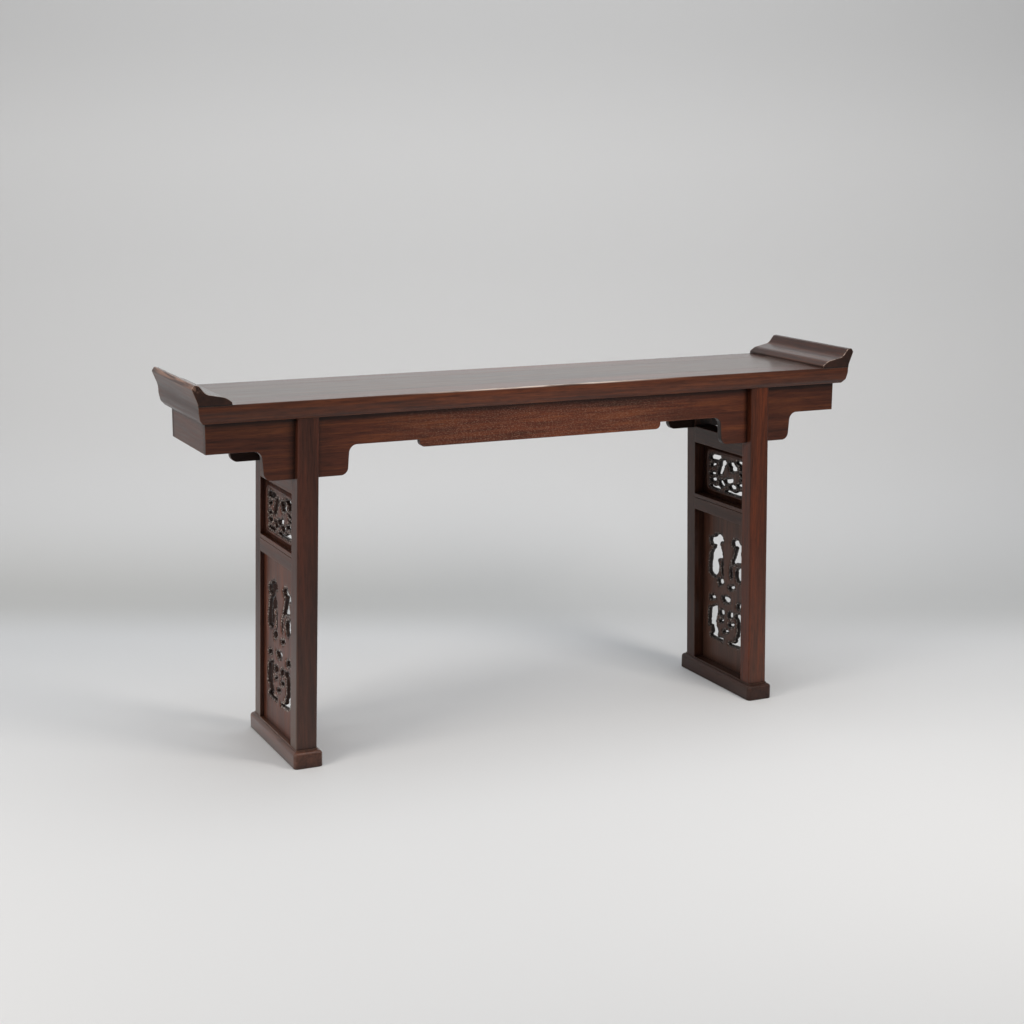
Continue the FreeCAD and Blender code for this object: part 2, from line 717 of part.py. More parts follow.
def build_leg(name, side, front):
    """One leg between the top and its foot, with a tenon at both ends."""
    outer = front * leg_face
    inner = front * leg_inner_face
    rounding = sizes["leg_round"]
    body = padded_body(f"{name}_stock", "XY_Plane", [
        (-half_leg, outer, rounding),
        (half_leg, outer, rounding),
        (half_leg, inner, 0),
        (-half_leg, inner, 0),
    ], foot_run + 2 * overrun, lift=-(foot_run + overrun))
    stand_in_trestle(body, side)
    reach = half_length + overrun
    slab = box(f"{name}_slab", (-reach, -reach, sizes["foot_height"]), (reach, reach, underside))
    trimmed = shared_part(f"{name}_trimmed", [body, slab])
    head_width = sizes["leg_head_tenon_width"] / 2
    head_height = sizes["leg_head_tenon_height"]
    head_thickness = sizes["leg_head_tenon_thickness"]
    head_near = (leg_face + apron_face - head_thickness) / 2
    low, high = span(front, head_near, head_near + head_thickness)
    head = trestle_box(f"{name}_head_tenon", side, (-head_width, low, -head_height),
                       (head_width, high, head_height))
    foot_width = sizes["leg_foot_tenon_width"] / 2
    foot_height = sizes["leg_foot_tenon_height"]
    foot_thickness = sizes["leg_foot_tenon_thickness"]
    foot_near = (leg_face + leg_inner_face - foot_thickness) / 2
    low, high = span(front, foot_near, foot_near + foot_thickness)
    foot = trestle_box(f"{name}_foot_tenon", side, (-foot_width, low, -(foot_run + foot_height)),
                       (foot_width, high, -(foot_run - foot_height)))
    return join(f"{name}_whole", [trimmed, head, foot])


def build_rail(name, side, bottom, height):
    """A rail between the two legs of a trestle, tenoned into both."""
    bar = trestle_box(f"{name}_bar", side, (-half_leg, -leg_inner_face, bottom),
                      (half_leg, leg_inner_face, bottom + height))
    half = sizes["rail_tenon_thickness"] / 2
    reach = leg_inner_face + sizes["rail_tenon_length"]
    shoulder = sizes["rail_tenon_shoulder"]
    tenons = trestle_box(f"{name}_tenons", side, (-half, -reach, bottom + shoulder),
                         (half, reach, bottom + height - shoulder))
    return join(f"{name}_whole", [bar, tenons])


def build_quirks(name, side):
    """The two scratched lines under the upper edge of the middle rail."""
    line_top = -(sizes["mid_rail_top"] + sizes["mid_rail_bead"])
    quirk = sizes["mid_rail_quirk"]
    lines = []
    for number, sign in enumerate((-1, 1)):
        low, high = span(sign, half_leg - quirk, half_leg + overrun)
        lines.append(trestle_box(f"{name}_quirk_{number}", side,
                                 (low, -leg_inner_face, line_top - quirk),
                                 (high, leg_inner_face, line_top)))
    return lines


def build_foot(name, side):
    """A shoe foot: rounded shoulders and a raised seat for the legs and panel."""
    body = doc.addObject("PartDesign::Body", f"{name}_block")
    half_width = half_leg + sizes["foot_side_reach"]
    half_foot = leg_face + sizes["foot_end_reach"]
    seat_bottom = sizes["foot_height"] - sizes["foot_seat_rise"]
    outline = sketch_outline(body, f"{name}_outline", "XY_Plane",
                             rectangle(half_width, half_foot, sizes["foot_corner_round"]))
    block = pad(body, f"{name}_pad", outline, seat_bottom)
    doc.recompute()
    rim = level_edges(block.Shape, seat_bottom.value)
    shoulder = round_edges(body, f"{name}_shoulder", block, rim, sizes["foot_shoulder_round"])
    sole = level_edges(shoulder.Shape, 0)
    chamfer = body.newObject("PartDesign::Chamfer", f"{name}_sole")
    chamfer.Base = (shoulder, sole)
    bind(chamfer, "Size", sizes["foot_base_chamfer"])
    margin = sizes["foot_seat_margin"]
    seat = sketch_outline(body, f"{name}_seat_outline", "XY_Plane",
                          rectangle(half_leg + sizes["foot_seat_side_margin"],
                                    leg_face + margin, margin),
                          lift=seat_bottom)
    pad(body, f"{name}_seat", seat, sizes["foot_seat_rise"])
    bind(body, "Placement.Base.x", side * (leg_centre + sizes["foot_spread"]))
    return body


def level_edges(shape, height):
    names = []
    for number, edge in enumerate(shape.Edges, 1):
        bounds = edge.BoundBox
        if abs(bounds.ZMin - height) < slack and abs(bounds.ZMax - height) < slack:
            names.append(f"Edge{number}")
    return names


# The carved panels

def rounded_loop(points, radius):
    """Closed wire through points in the panel's plane, its corners eased by arcs."""
    spots = [Vector(0, along, up) for along, up in points]
    count = len(spots)
    arcs = []
    for index, spot in enumerate(spots):
        before = spots[index - 1] - spot
        after = spots[(index + 1) % count] - spot
        half_turn = before.getAngle(after) / 2
        shorter = min(before.Length, after.Length)
        reach = min(radius / math.tan(half_turn), shorter * EASING_SHARE)
        entry = spot + before.normalize() * reach
        leave = spot + after.normalize() * reach
        inward = ((entry + leave) * 0.5 - spot).normalize()
        nearest = spot + inward * (reach / math.cos(half_turn) - reach * math.tan(half_turn))
        arcs.append((entry, nearest, leave))
    edges = []
    for index, (entry, nearest, leave) in enumerate(arcs):
        following = arcs[(index + 1) % count][0]
        edges.append(Part.Arc(entry, nearest, leave).toShape())
        edges.append(Part.LineSegment(leave, following).toShape())
    return Part.Wire(edges)


def opening_prism(points, radius):
    """One carved opening, cut square through everything the panel has."""
    face = Part.Face(rounded_loop(points, radius))
    face.translate(Vector(-overrun.value, 0, 0))
    return face.extrude(Vector(2 * overrun.value, 0, 0))


def window_points(shares, half_width, bottom, height):
    return [(along * half_width.value, bottom.value + up * height.value) for along, up in shares]


def rounded_window(half_width, bottom, height, radius):
    low = bottom.value
    high = (bottom + height).value
    edge = half_width.value
    return rounded_loop([(-edge, low), (edge, low), (edge, high), (-edge, high)], radius.value)


def build_carving(name, side, openings, half_width, bottom, height):
    """All the openings of one panel as cutting solids."""
    prisms = [
        opening_prism(window_points(shares, half_width, bottom, height),
                      sizes["carving_round"].value)
        for shares in openings
    ]
    carving = doc.addObject("Part::Feature", name)
    carving.Shape = Part.makeCompound(prisms)
    return stand_in_trestle(carving, side)


def build_bead(name, side, low, high):
    """The raised frame round the upper panel's window, on both faces."""
    width = sizes["upper_bead_width"]
    radius = sizes["upper_window_round"]
    inner = rounded_window(upper_window_half, upper_window_bottom, upper_window_height, radius)
    outer = rounded_window(upper_window_half + width, upper_window_bottom - width,
                           upper_window_height + 2 * width, radius + width)
    ring = Part.makeFace([outer, inner], "Part::FaceMakerBullseye")
    lift = sizes["upper_bead_height"].value
    ring.translate(Vector(low.value - lift, 0, 0))
    bead = doc.addObject("Part::Feature", name)
    bead.Shape = ring.extrude(Vector(high.value - low.value + 2 * lift, 0, 0))
    return stand_in_trestle(bead, side)


def panel_faces(side):
    """Where a panel's two faces lie across the trestle, the lower value first."""
    near = half_leg - sizes["panel_recess"] - sizes["panel_thickness"]
    return span(side, near, near + sizes["panel_thickness"])


def panel_blank(name, side, bottom, top):
    """A panel board with the tongues that stand in its grooves on all four sides."""
    low, high = panel_faces(side)
    tongue = sizes["panel_tongue"]
    reach = leg_inner_face + tongue
    return trestle_box(name, side, (low, -reach, bottom - tongue), (high, reach, top + tongue))


# Build it all

long_section, rail_section, end_section = build_top_sections()
board = build_board()
battens = {
    "left": build_batten("batten_left", -sizes["batten_spacing"]),
    "middle": build_batten("batten_middle", as_size(0)),
    "right": build_batten("batten_right", sizes["batten_spacing"]),
}
frame_rails = {
    face: build_frame_rail(face, front, long_section, rail_section)
    for face, front in FACES.items()
}
long_aprons = {face: build_long_apron(face, front) for face, front in FACES.items()}
end_aprons = {name: build_end_apron(name, side) for name, side in SIDES.items()}
aprons = list(long_aprons.values()) + list(end_aprons.values())

legs = {}
for name, side in SIDES.items():
    for face, front in FACES.items():
        legs[face, name] = build_leg(f"leg_{face}_{name}", side, front)

for name, side in SIDES.items():
    top_rail = build_rail(f"trestle_top_rail_{name}", side, top_rail_bottom, sizes["top_rail_height"])
    mid_rail = build_rail(f"trestle_mid_rail_{name}", side, mid_rail_bottom, sizes["mid_rail_height"])
    foot = build_foot(f"foot_{name}", side)
    low, high = panel_faces(side)
    upper = panel_blank(f"upper_panel_{name}_blank", side, -sizes["mid_rail_top"], top_rail_bottom)
    lower = panel_blank(f"lower_panel_{name}_blank", side, -foot_run, mid_rail_bottom)
    bead = build_bead(f"upper_panel_{name}_bead", side, low, high)
    upper_carving = build_carving(f"upper_panel_{name}_carving", side, UPPER_SHARES,
                                  upper_window_half, upper_window_bottom, upper_window_height)
    lower_carving = build_carving(f"lower_panel_{name}_carving", side, LOWER_SHARES,
                                  lower_window_half, lower_window_bottom, lower_window_height)
    beaded = join(f"upper_panel_{name}_beaded", [upper, bead])
    finish(f"upper_panel_{name}", cut(f"upper_panel_{name}", beaded, [upper_carving]))
    finish(f"lower_panel_{name}", cut(f"lower_panel_{name}", lower, [lower_carving]))
    finish(f"trestle_top_rail_{name}", cut(f"trestle_top_rail_{name}", top_rail, [upper]))
    finish(f"trestle_mid_rail_{name}",
           cut(f"trestle_mid_rail_{name}", mid_rail,
               [upper, lower] + build_quirks(f"trestle_mid_rail_{name}", side)))
    for face in FACES:
        finish(f"leg_{face}_{name}",
               cut(f"leg_{face}_{name}", legs[face, name],
                   [long_aprons[face], top_rail, mid_rail, upper, lower]))
    finish(f"foot_{name}",
           cut(f"foot_{name}", foot, [legs["front", name], legs["back", name], lower]))

for face in FACES:
    finish(f"apron_{face}", cut(f"apron_{face}", long_aprons[face], list(end_aprons.values())))
    finish(f"top_rail_{face}",
           cut(f"top_rail_{face}", frame_rails[face],
               [board] + list(battens.values()) + aprons
               + [legs[face, "left"], legs[face, "right"]]))
for name, side in SIDES.items():
    finish(f"apron_end_{name}", end_aprons[name])
    finish(f"top_end_{name}",
           cut(f"top_end_{name}", build_frame_end(name, side, long_section, end_section),
               list(frame_rails.values()) + [board] + aprons))
finish("top_board", cut("top_board", board, list(battens.values())))
for name, batten in battens.items():
    finish(f"top_batten_{name}", batten)

doc.recompute()


# Check and write

def check_document():
    """Stop if anything in the document failed or a node is not one sound solid."""
    for thing in doc.Objects:
        if "Invalid" in thing.State or "Error" in thing.State:
            raise RuntimeError(f"{thing.Label} failed: {thing.State}")
    for label, thing in nodes.items():
        shape = thing.Shape
        if shape.isNull() or not shape.isValid() or len(shape.Solids) != 1:
            raise RuntimeError(f"{label} is not one valid solid")


def write_nodes():
    os.makedirs("parts", exist_ok=True)
    for label, thing in sorted(nodes.items()):
        thing.Shape.exportStep(f"parts/{label}.step")
        bounds = thing.Shape.BoundBox
        print(f"{label:26s} x {bounds.XMin:8.1f} {bounds.XMax:8.1f}  y {bounds.YMin:7.1f}"
              f" {bounds.YMax:7.1f}  z {bounds.ZMin:7.1f} {bounds.ZMax:7.1f}"
              f"  volume {thing.Shape.Volume / 1000:9.1f} cm3")


check_document()
write_nodes()
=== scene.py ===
# %% [markdown]
# # A chinese altar table, dressed for its picture
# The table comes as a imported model: every board, rail, leg and foot has its true
# size and place already. This lesson adds what a picture needs: lacquered wood,
# carving on the four openwork panels, a pale studio, soft lamps and a camera.
# The frame is loaded first, because everything else takes its place from it.

# %% Load the frame
import math
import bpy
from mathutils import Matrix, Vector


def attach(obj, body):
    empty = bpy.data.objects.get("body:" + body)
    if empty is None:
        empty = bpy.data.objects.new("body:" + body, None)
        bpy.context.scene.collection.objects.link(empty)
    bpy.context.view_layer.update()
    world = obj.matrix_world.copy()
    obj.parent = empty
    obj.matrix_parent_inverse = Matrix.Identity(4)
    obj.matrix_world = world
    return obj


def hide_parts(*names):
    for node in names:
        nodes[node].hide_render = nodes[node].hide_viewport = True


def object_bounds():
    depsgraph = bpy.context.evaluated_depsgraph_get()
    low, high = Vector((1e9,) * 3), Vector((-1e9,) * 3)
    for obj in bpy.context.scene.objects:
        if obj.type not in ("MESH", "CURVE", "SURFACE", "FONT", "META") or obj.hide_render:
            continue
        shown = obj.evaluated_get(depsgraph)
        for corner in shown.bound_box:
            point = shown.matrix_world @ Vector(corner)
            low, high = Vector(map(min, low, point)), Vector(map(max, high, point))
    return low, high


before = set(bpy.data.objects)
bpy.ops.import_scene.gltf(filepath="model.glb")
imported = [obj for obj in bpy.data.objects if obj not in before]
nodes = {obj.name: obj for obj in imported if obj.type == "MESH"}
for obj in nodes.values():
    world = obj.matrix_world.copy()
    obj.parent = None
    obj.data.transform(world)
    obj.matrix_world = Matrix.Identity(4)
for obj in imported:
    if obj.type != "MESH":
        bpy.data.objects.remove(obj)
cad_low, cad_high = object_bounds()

from types import SimpleNamespace

import bmesh
import bpy
import numpy as np
from mathutils import Matrix, Vector, geometry, kdtree, noise

MM = 0.001
table_size = cad_high - cad_low
print("nodes:", len(nodes), "size in mm:", [round(side / MM, 1) for side in table_size])

# %% [markdown]
# ## The camera
# The photograph was taken from the front left, a little above the top, with a long
# lens. Its place and turn were worked out from the edges of the table, so they are
# written as numbers here. A camera could also be aimed with a constraint, but a plain
# matrix keeps the small roll of the picture.

# %% Camera
CAMERA_PLACE = Vector((-1.8894, -3.9376, 1.4536))
CAMERA_YAW = math.radians(-25.42)
CAMERA_PITCH = math.radians(-12.066)
CAMERA_ROLL = math.radians(0.2927)
CAMERA_LENS = 63.13
CAMERA_SENSOR = 36.0
CAMERA_REACH = 100.0

turn = (Matrix.Rotation(CAMERA_YAW, 4, "Z")
        @ Matrix.Rotation(math.radians(90) + CAMERA_PITCH, 4, "X")
        @ Matrix.Rotation(CAMERA_ROLL, 4, "Z"))
camera = bpy.data.objects.new("camera", bpy.data.cameras.new("camera"))
camera.data.lens = CAMERA_LENS
camera.data.sensor_width = CAMERA_SENSOR
camera.data.clip_end = CAMERA_REACH
camera.matrix_world = Matrix.Translation(CAMERA_PLACE) @ turn
bpy.context.scene.collection.objects.link(camera)
bpy.context.scene.camera = camera
view_ahead = Vector((-math.sin(CAMERA_YAW), math.cos(CAMERA_YAW), 0))
view_across = Vector((math.cos(CAMERA_YAW), math.sin(CAMERA_YAW), 0))
print("camera looks along", [round(part, 3) for part in view_ahead])

# %% [markdown]
# ## Three helpers for materials
# Hex colours are written as they look on a screen, and the renderer wants linear
# light, so one function converts them. The next adds one node with its settings,
# values and links in a single call, which keeps every material short to read. It
# leaves the kind of node to the caller, so that each line still says what it adds.
# The last starts an empty material.

# %% Colour and node helpers
def linear(hex_colour):
    """Linear colour of an sRGB hex value such as #592F1A."""
    parts = [int(hex_colour[place:place + 2], 16) / 255 for place in (1, 3, 5)]
    light = [part / 12.92 if part <= 0.04045 else ((part + 0.055) / 1.055) ** 2.4
             for part in parts]
    return (*light, 1.0)


def add(tree, kind, inputs=(), output=None, **settings):
    """Add a shader node and give it, or the output that is named.

    Its inputs come in their order or by name; each is a value, or a socket to link.
    """
    node = tree.nodes.new("ShaderNode" + kind)
    for name, value in settings.items():
        setattr(node, name, value)
    for name, value in inputs.items() if isinstance(inputs, dict) else enumerate(inputs):
        if isinstance(value, bpy.types.NodeSocket):
            tree.links.new(value, node.inputs[name])
        else:
            node.inputs[name].default_value = value
    return node.outputs[output] if output else node


def new_tree(name):
    """An empty node material and its tree."""
    material = bpy.data.materials.new(name)
    material.use_nodes = True
    material.node_tree.nodes.clear()
    return material, material.node_tree


print("middle grey in linear light:", round(linear("#808080")[0], 3))

# %% [markdown]
# ## Hardwood and its grain
# The table is a dense dark red hardwood, sawn, planed and stained. Two things show in
# the bare wood: a broad figure of lighter and darker bands along each board, and fine
# dark pores that run the same way. Image textures could give that, but noise that is
# stretched along the grain works at any size and needs no files. Each pattern is scaled
# from a real size, and the grain of a piece runs along its own length.

# %% Sizes of the grain
GRAIN_TURNS = {
    "x": (0.0, 0.0, 0.0),
    "y": (0.0, 0.0, math.radians(90)),
    "z": (0.0, math.radians(90), 0.0),
}
BOARD_SHIFT = (1.0, 0.37, 0.73)
FIGURE = {"width": 30 * MM, "stretch": 0.06, "detail": 5.0, "distortion": 0.3}
STREAKS = {"width": 6 * MM, "stretch": 0.05, "detail": 4.0, "distortion": 0.15}
# real pores are about 0.3 mm wide, too fine for the picture, so these are coarser
PORES = {"width": 1.4 * MM, "stretch": 0.05, "detail": 2.0, "coarseness": 0.5}
WEAR_WIDTH = 2.4 * MM
WEAR_SAMPLES = 4
print("figure", round(FIGURE["width"] / MM), "mm and pores", round(PORES["width"] / MM, 1),
      "mm wide")

# %% Grain of one board
def from_middle(tree, place, middle=0.0):
    """How far a place on the table is from a middle of it, on either side."""
    offset = add(tree, "Math", (place, middle), "Value", operation="SUBTRACT")
    return add(tree, "Math", (offset,), "Value", operation="ABSOLUTE")


def board(tree, grain, seed):
    """Places, directions and noises of one board, which the layers of its wood use."""
    coordinates = add(tree, "TexCoord").outputs
    place, normal = coordinates["Object"], coordinates["Normal"]
    spot = add(tree, "SeparateXYZ", (place,)).outputs
    facing = add(tree, "SeparateXYZ", (normal,)).outputs
    turned = add(tree, "Mapping", {
        "Vector": place, "Location": [seed * share for share in BOARD_SHIFT],
        "Rotation": GRAIN_TURNS[grain]}, "Vector")

    def drawn_out(width, stretch, detail, distortion=0.0, coarseness=0.6):
        """Noise of one width across the grain, stretched along it."""
        longer = add(tree, "Mapping", {"Vector": turned, "Scale": (stretch, 1, 1)}, "Vector")
        return add(tree, "TexNoise", {
            "Vector": longer, "Scale": 1 / width, "Detail": detail,
            "Roughness": coarseness, "Distortion": distortion}, "Fac")

    return SimpleNamespace(
        tree=tree, place=place, normal=normal, spot=spot, facing=facing, drawn_out=drawn_out,
        along=from_middle(tree, spot["X"]), across=from_middle(tree, facing[grain.upper()]),
        figure=drawn_out(**FIGURE), streaks=drawn_out(**STREAKS), pores=drawn_out(**PORES),
        rounded=add(tree, "Bevel", (WEAR_WIDTH,), "Normal", samples=WEAR_SAMPLES))


print("grain can run along", ", ".join(GRAIN_TURNS))

# %% Tones of one board
DARK_SHARE, MIDDLE_SHARE, PALE_SHARE = 0.34, 0.5, 0.68
NOISE_SHARE = 0.5
PORE_SPAN = (0.34, 0.46)
PORE_SHADE = 0.6


def shade(wood, gain):
    """Make the wood darker or paler by a gain."""
    wood.colour = add(wood.tree, "Mix", {"Factor": 1.0, "A": wood.colour, "B": gain}, "Result",
                      data_type="RGBA", blend_type="MULTIPLY")


def figured(wood, pale, middle, dark):
    """Bands between the three tones of a board, with its pores darker."""
    both = add(wood.tree, "Math", (wood.figure, wood.streaks), "Value", operation="ADD")
    blend = add(wood.tree, "Math", (both, NOISE_SHARE), "Value", operation="MULTIPLY")
    ramp = add(wood.tree, "ValToRGB", (blend,))
    stops = ramp.color_ramp.elements
    for stop, share, tone in zip(stops, (DARK_SHARE, PALE_SHARE), (dark, pale)):
        stop.position = share
        stop.color = linear(tone)
    stops.new(MIDDLE_SHARE).color = linear(middle)
    wood.colour = ramp.outputs["Color"]
    shade(wood, add(wood.tree, "MapRange", (wood.pores, *PORE_SPAN, PORE_SHADE), "Result"))


print("a board runs from dark to pale over", round(PALE_SHARE - DARK_SHARE, 2), "of its noise")

# %% [markdown]
# ## Layers that use leaves on wood
# A table that has stood in a house for long isn't one colour. Hands polish it, stain
# soaks into its ends, edges wear pale. Some layers here are painted light and shade
# instead: a painted pool of light and painted sheen dots in the middle of long pieces,
# and painted shade in corners, under the frame and on inner faces. One painted picture
# could hold all that, but then it would fit one piece only. So each kind of mark is a
# small function that lays a colour over the wood by a share, and its strength is given
# for each piece. A mark with several shares shows only where all of them agree.

# %% Painted light in the middle, and painted sheen dots
HANDLED_HALF_LENGTH = 0.75
# painted sheen: pale dots of light caught in the open pores; real pores are finer, so these are
# drawn coarser to show at all
WAX_DOTS = {"width": 2 * MM, "stretch": 0.55, "detail": 1.0}
WAX_SPAN = (0.53, 0.66)
WAX_FADE = (0.2, 0.5)
OLD_WAX = "#A07F6C"


def lay(wood, hex_colour, share, *others):
    """Lay one colour over the wood, by its shares multiplied together."""
    for other in others:
        share = add(wood.tree, "Math", (share, other), "Value", operation="MULTIPLY")
    wood.colour = add(wood.tree, "Mix", {
        "Factor": share, "A": wood.colour, "B": linear(hex_colour)}, "Result", data_type="RGBA")


def handled_middle(wood, gains):
    """Painted light: the middle of a long piece is painted paler, as a pool of light and sheen,
    and its ends darker.
    """
    shade(wood, add(wood.tree, "MapRange", (wood.along, 0, HANDLED_HALF_LENGTH, *gains),
                    "Result"))


def waxed_pores(wood, strength):
    """Painted sheen: fine pale dots of light in the open pores, towards the middle."""
    dots = wood.drawn_out(**WAX_DOTS)
    zone = add(wood.tree, "MapRange", (wood.along, *WAX_FADE, strength, 0.0), "Result",
               interpolation_type="SMOOTHSTEP")
    lay(wood, OLD_WAX, add(wood.tree, "MapRange", (dots, *WAX_SPAN, 0, zone), "Result"))


# width of the painted sheen dots
print("wax dots", round(WAX_DOTS["width"] / MM), "mm wide")

# %% Ends and inner faces
END_SPAN = (0.75, 0.95)
SOAKED_STAIN = "#1C0F0A"
SIDEWAYS = (1, 1, 0)
INWARD_SPAN = (0, -0.05)
# dark of unpolished wood, and painted shade on the faces that look into the table
UNPOLISHED = "#120B08"


def soaked_ends(wood, strength):
    """End grain soaks up stain and is darker than the sides."""
    ends = add(wood.tree, "MapRange", (wood.across, *END_SPAN, 0, strength), "Result")
    lay(wood, SOAKED_STAIN, ends)


def unpolished_inside(wood, strength):
    """The faces that look into the table are darker: never polished, and painted shade, since they
    stand in shade.
    """
    out = add(wood.tree, "VectorMath", (wood.place, SIDEWAYS), "Vector", operation="MULTIPLY")
    outward = add(wood.tree, "VectorMath", (out, wood.normal), "Value",
                  operation="DOT_PRODUCT")
    inner = add(wood.tree, "MapRange", (outward, *INWARD_SPAN, 0, strength), "Result")
    lay(wood, UNPOLISHED, inner)


print("end grain starts at", round(math.degrees(math.acos(END_SPAN[0]))), "degrees")

# %% Rubbed edges, and painted shade in corners and under the frame
RUBBED_SPAN = (0.99, 0.80)
CORNER_WIDTH = 15 * MM
CORNER_SAMPLES = 6
CORNER_SPAN = (0.98, 0.45)
SOOTY_HEIGHTS = (804 * MM, 818 * MM)
# dark of the dirt in the flange joints, and of painted shade in corners and under the frame
DIRT = "#0C0706"


def rubbed_edges(wood, strength_and_colour):
    """Edges are rubbed pale, unevenly, where a bevel would turn their direction."""
    strength, colour = strength_and_colour
    flat = add(wood.tree, "NewGeometry", (), "Normal")
    likeness = add(wood.tree, "VectorMath", (wood.rounded, flat), "Value",
                   operation="DOT_PRODUCT")
    rubbed = add(wood.tree, "MapRange", (likeness, *RUBBED_SPAN, 0, strength), "Result")
    lay(wood, colour, rubbed, wood.figure)


def dusty_corners(wood, strength):
    """Painted shade: corners are darkened where the table's own parts keep the light out."""
    openness = add(wood.tree, "AmbientOcclusion", {"Distance": CORNER_WIDTH}, "AO",
                   samples=CORNER_SAMPLES)
    dust = add(wood.tree, "MapRange", (openness, *CORNER_SPAN, 0, strength), "Result")
    lay(wood, DIRT, dust)


def sooty_band(wood, strength):
    """Painted shade: a dark band in the corner under the frame of the top, where its shadow falls.
    """
    band = add(wood.tree, "MapRange", (wood.spot["Z"], *SOOTY_HEIGHTS, 0, strength), "Result")
    lay(wood, DIRT, band)


# how far the painted shade reaches out of a corner
print("dust reaches", round(CORNER_WIDTH / MM), "mm out of a corner")

# %% [markdown]
# ## Marks of the top and the legs
# Four marks belong to one place each: the long arrises of the top are worn bare by
# sleeves and cloths and carry a painted highlight, the lip of the left flange is touched
# most, dirt fills the level joint under each flange, and the legs are paler low down,
# from scuffs by shoes and painted light from the floor. They are placed by the height,
# depth and length of the table, so they stay put in every view.

# %% Worn and highlighted arris, and touched lip
TOP_DEPTH = 171.5 * MM
TOP_HEIGHT = 860 * MM
ARRIS_WIDTH = 2.1 * MM
ARRIS_OUTER = (TOP_DEPTH - 2 * ARRIS_WIDTH, TOP_DEPTH - ARRIS_WIDTH)
ARRIS_UPPER = (TOP_HEIGHT - 1.6 * ARRIS_WIDTH, TOP_HEIGHT - 0.4 * ARRIS_WIDTH)
ARRIS_MIDDLE = -0.02
ARRIS_FADE = (0.08, 0.42)
ARRIS_CHIPS = (0.38, 0.48, 0.2)
# pale of bare wood, and of the painted highlight on the arris
BARE_WOOD = "#DCCDC3"
LIP_HEIGHTS = (888 * MM, 906 * MM)
LEFT_FADE = (0.2, -0.2)
LIP_STREAKS = (0.42, 0.62)
TOUCHED_WOOD = "#A98674"


def worn_arris(wood, strength):
    """Sleeves and cloths have worn the upper arris of the frame through its lacquer, and a painted
    highlight lies along it.
    """
    tree, spot = wood.tree, wood.spot
    outer = add(tree, "MapRange", (from_middle(tree, spot["Y"]), *ARRIS_OUTER), "Result")
    upper = add(tree, "MapRange", (spot["Z"], *ARRIS_UPPER), "Result")
    off_middle = from_middle(tree, spot["X"], ARRIS_MIDDLE)
    zone = add(tree, "MapRange", (off_middle, *ARRIS_FADE, strength, 0.0), "Result",
               interpolation_type="SMOOTHSTEP")
    chips = add(tree, "MapRange", (wood.streaks, *ARRIS_CHIPS), "Result")
    lay(wood, BARE_WOOD, outer, upper, zone, chips)


def touched_lip(wood, strength):
    """The lip of the left flange is the part that is touched most."""
    left = add(wood.tree, "MapRange", (wood.spot["X"], *LEFT_FADE, 0, strength), "Result")
    lip = add(wood.tree, "MapRange", (wood.spot["Z"], *LIP_HEIGHTS, 0, left), "Result")
    streaks = add(wood.tree, "MapRange", (wood.streaks, *LIP_STREAKS), "Result")
    lay(wood, TOUCHED_WOOD, lip, streaks)


print("arris worn over", round(2 * ARRIS_FADE[1], 2), "m")

# %% Joint, nicks, and scuffs with painted light
JOINT_WIDTH = 1.6 * MM
JOINT_SPAN = (0.5 * JOINT_WIDTH, JOINT_WIDTH)
NICK_WIDTH = 3.0 * MM
NICK_DEPTHS = (TOP_DEPTH - NICK_WIDTH, TOP_DEPTH - 0.5 * NICK_WIDTH)
NICK_HEIGHTS = (TOP_HEIGHT + JOINT_WIDTH, TOP_HEIGHT + 4 * JOINT_WIDTH)
UPWARD_SPAN = (0.2, 0.5)
NICK_STREAKS = (0.44, 0.56)
NICKED_WOOD = "#B7A497"
SCUFF_HEIGHTS = (0.42, 0)
SIDEWARD_SPAN = (0.5, 0.9)
# paler greyish wood low on the legs: scuffs, and painted light from the floor
SCUFFED_WOOD = "#8D7C72"


def dirty_joint(wood, strength):
    """Dirt marks the level joint under each flange, and its front rim is nicked pale."""
    tree, spot = wood.tree, wood.spot
    off_joint = from_middle(tree, spot["Z"], TOP_HEIGHT)
    line = add(tree, "MapRange", (off_joint, *JOINT_SPAN, strength, 0), "Result")
    ends = add(tree, "MapRange", (wood.across, *END_SPAN), "Result")
    lay(wood, DIRT, line, ends)
    rim = add(tree, "MapRange", (from_middle(tree, spot["Y"]), *NICK_DEPTHS), "Result")
    upward = add(tree, "MapRange", (wood.facing["Z"], *UPWARD_SPAN), "Result")
    above = add(tree, "MapRange", (spot["Z"], *NICK_HEIGHTS), "Result")
    streaks = add(tree, "MapRange", (wood.streaks, *NICK_STREAKS, 0, strength), "Result")
    lay(wood, NICKED_WOOD, rim, upward, above, streaks)


def scuffed_foot(wood, strengths):
    """The low end of a leg is paler: shoe scuffs, and painted light from the floor; a strength for
    its front and back, one for its sides.
    """
    sideward = from_middle(wood.tree, wood.facing["X"])
    side = add(wood.tree, "MapRange", (sideward, *SIDEWARD_SPAN, *strengths), "Result")
    low = add(wood.tree, "MapRange", (wood.spot["Z"], *SCUFF_HEIGHTS), "Result")
    lay(wood, SCUFFED_WOOD, low, side)


print("joint line", round(JOINT_WIDTH / MM, 1), "mm, scuffs up to", SCUFF_HEIGHTS[0], "m")

# %% [markdown]
# ## Stain, painted shade and painted glints in the carving
# A carver stains the ground of openwork and wipes the stain off the high strands. Here
# the hollows and walls are painted nearly black, stain and painted shade together, and
# the points between them get painted glints, painted highlights. The carved meshes will
# carry an attribute named carving, from 0 on plain wood to 1 in the walls, and the
# darkening follows it. Ambient occlusion alone would darken plain corners as well.

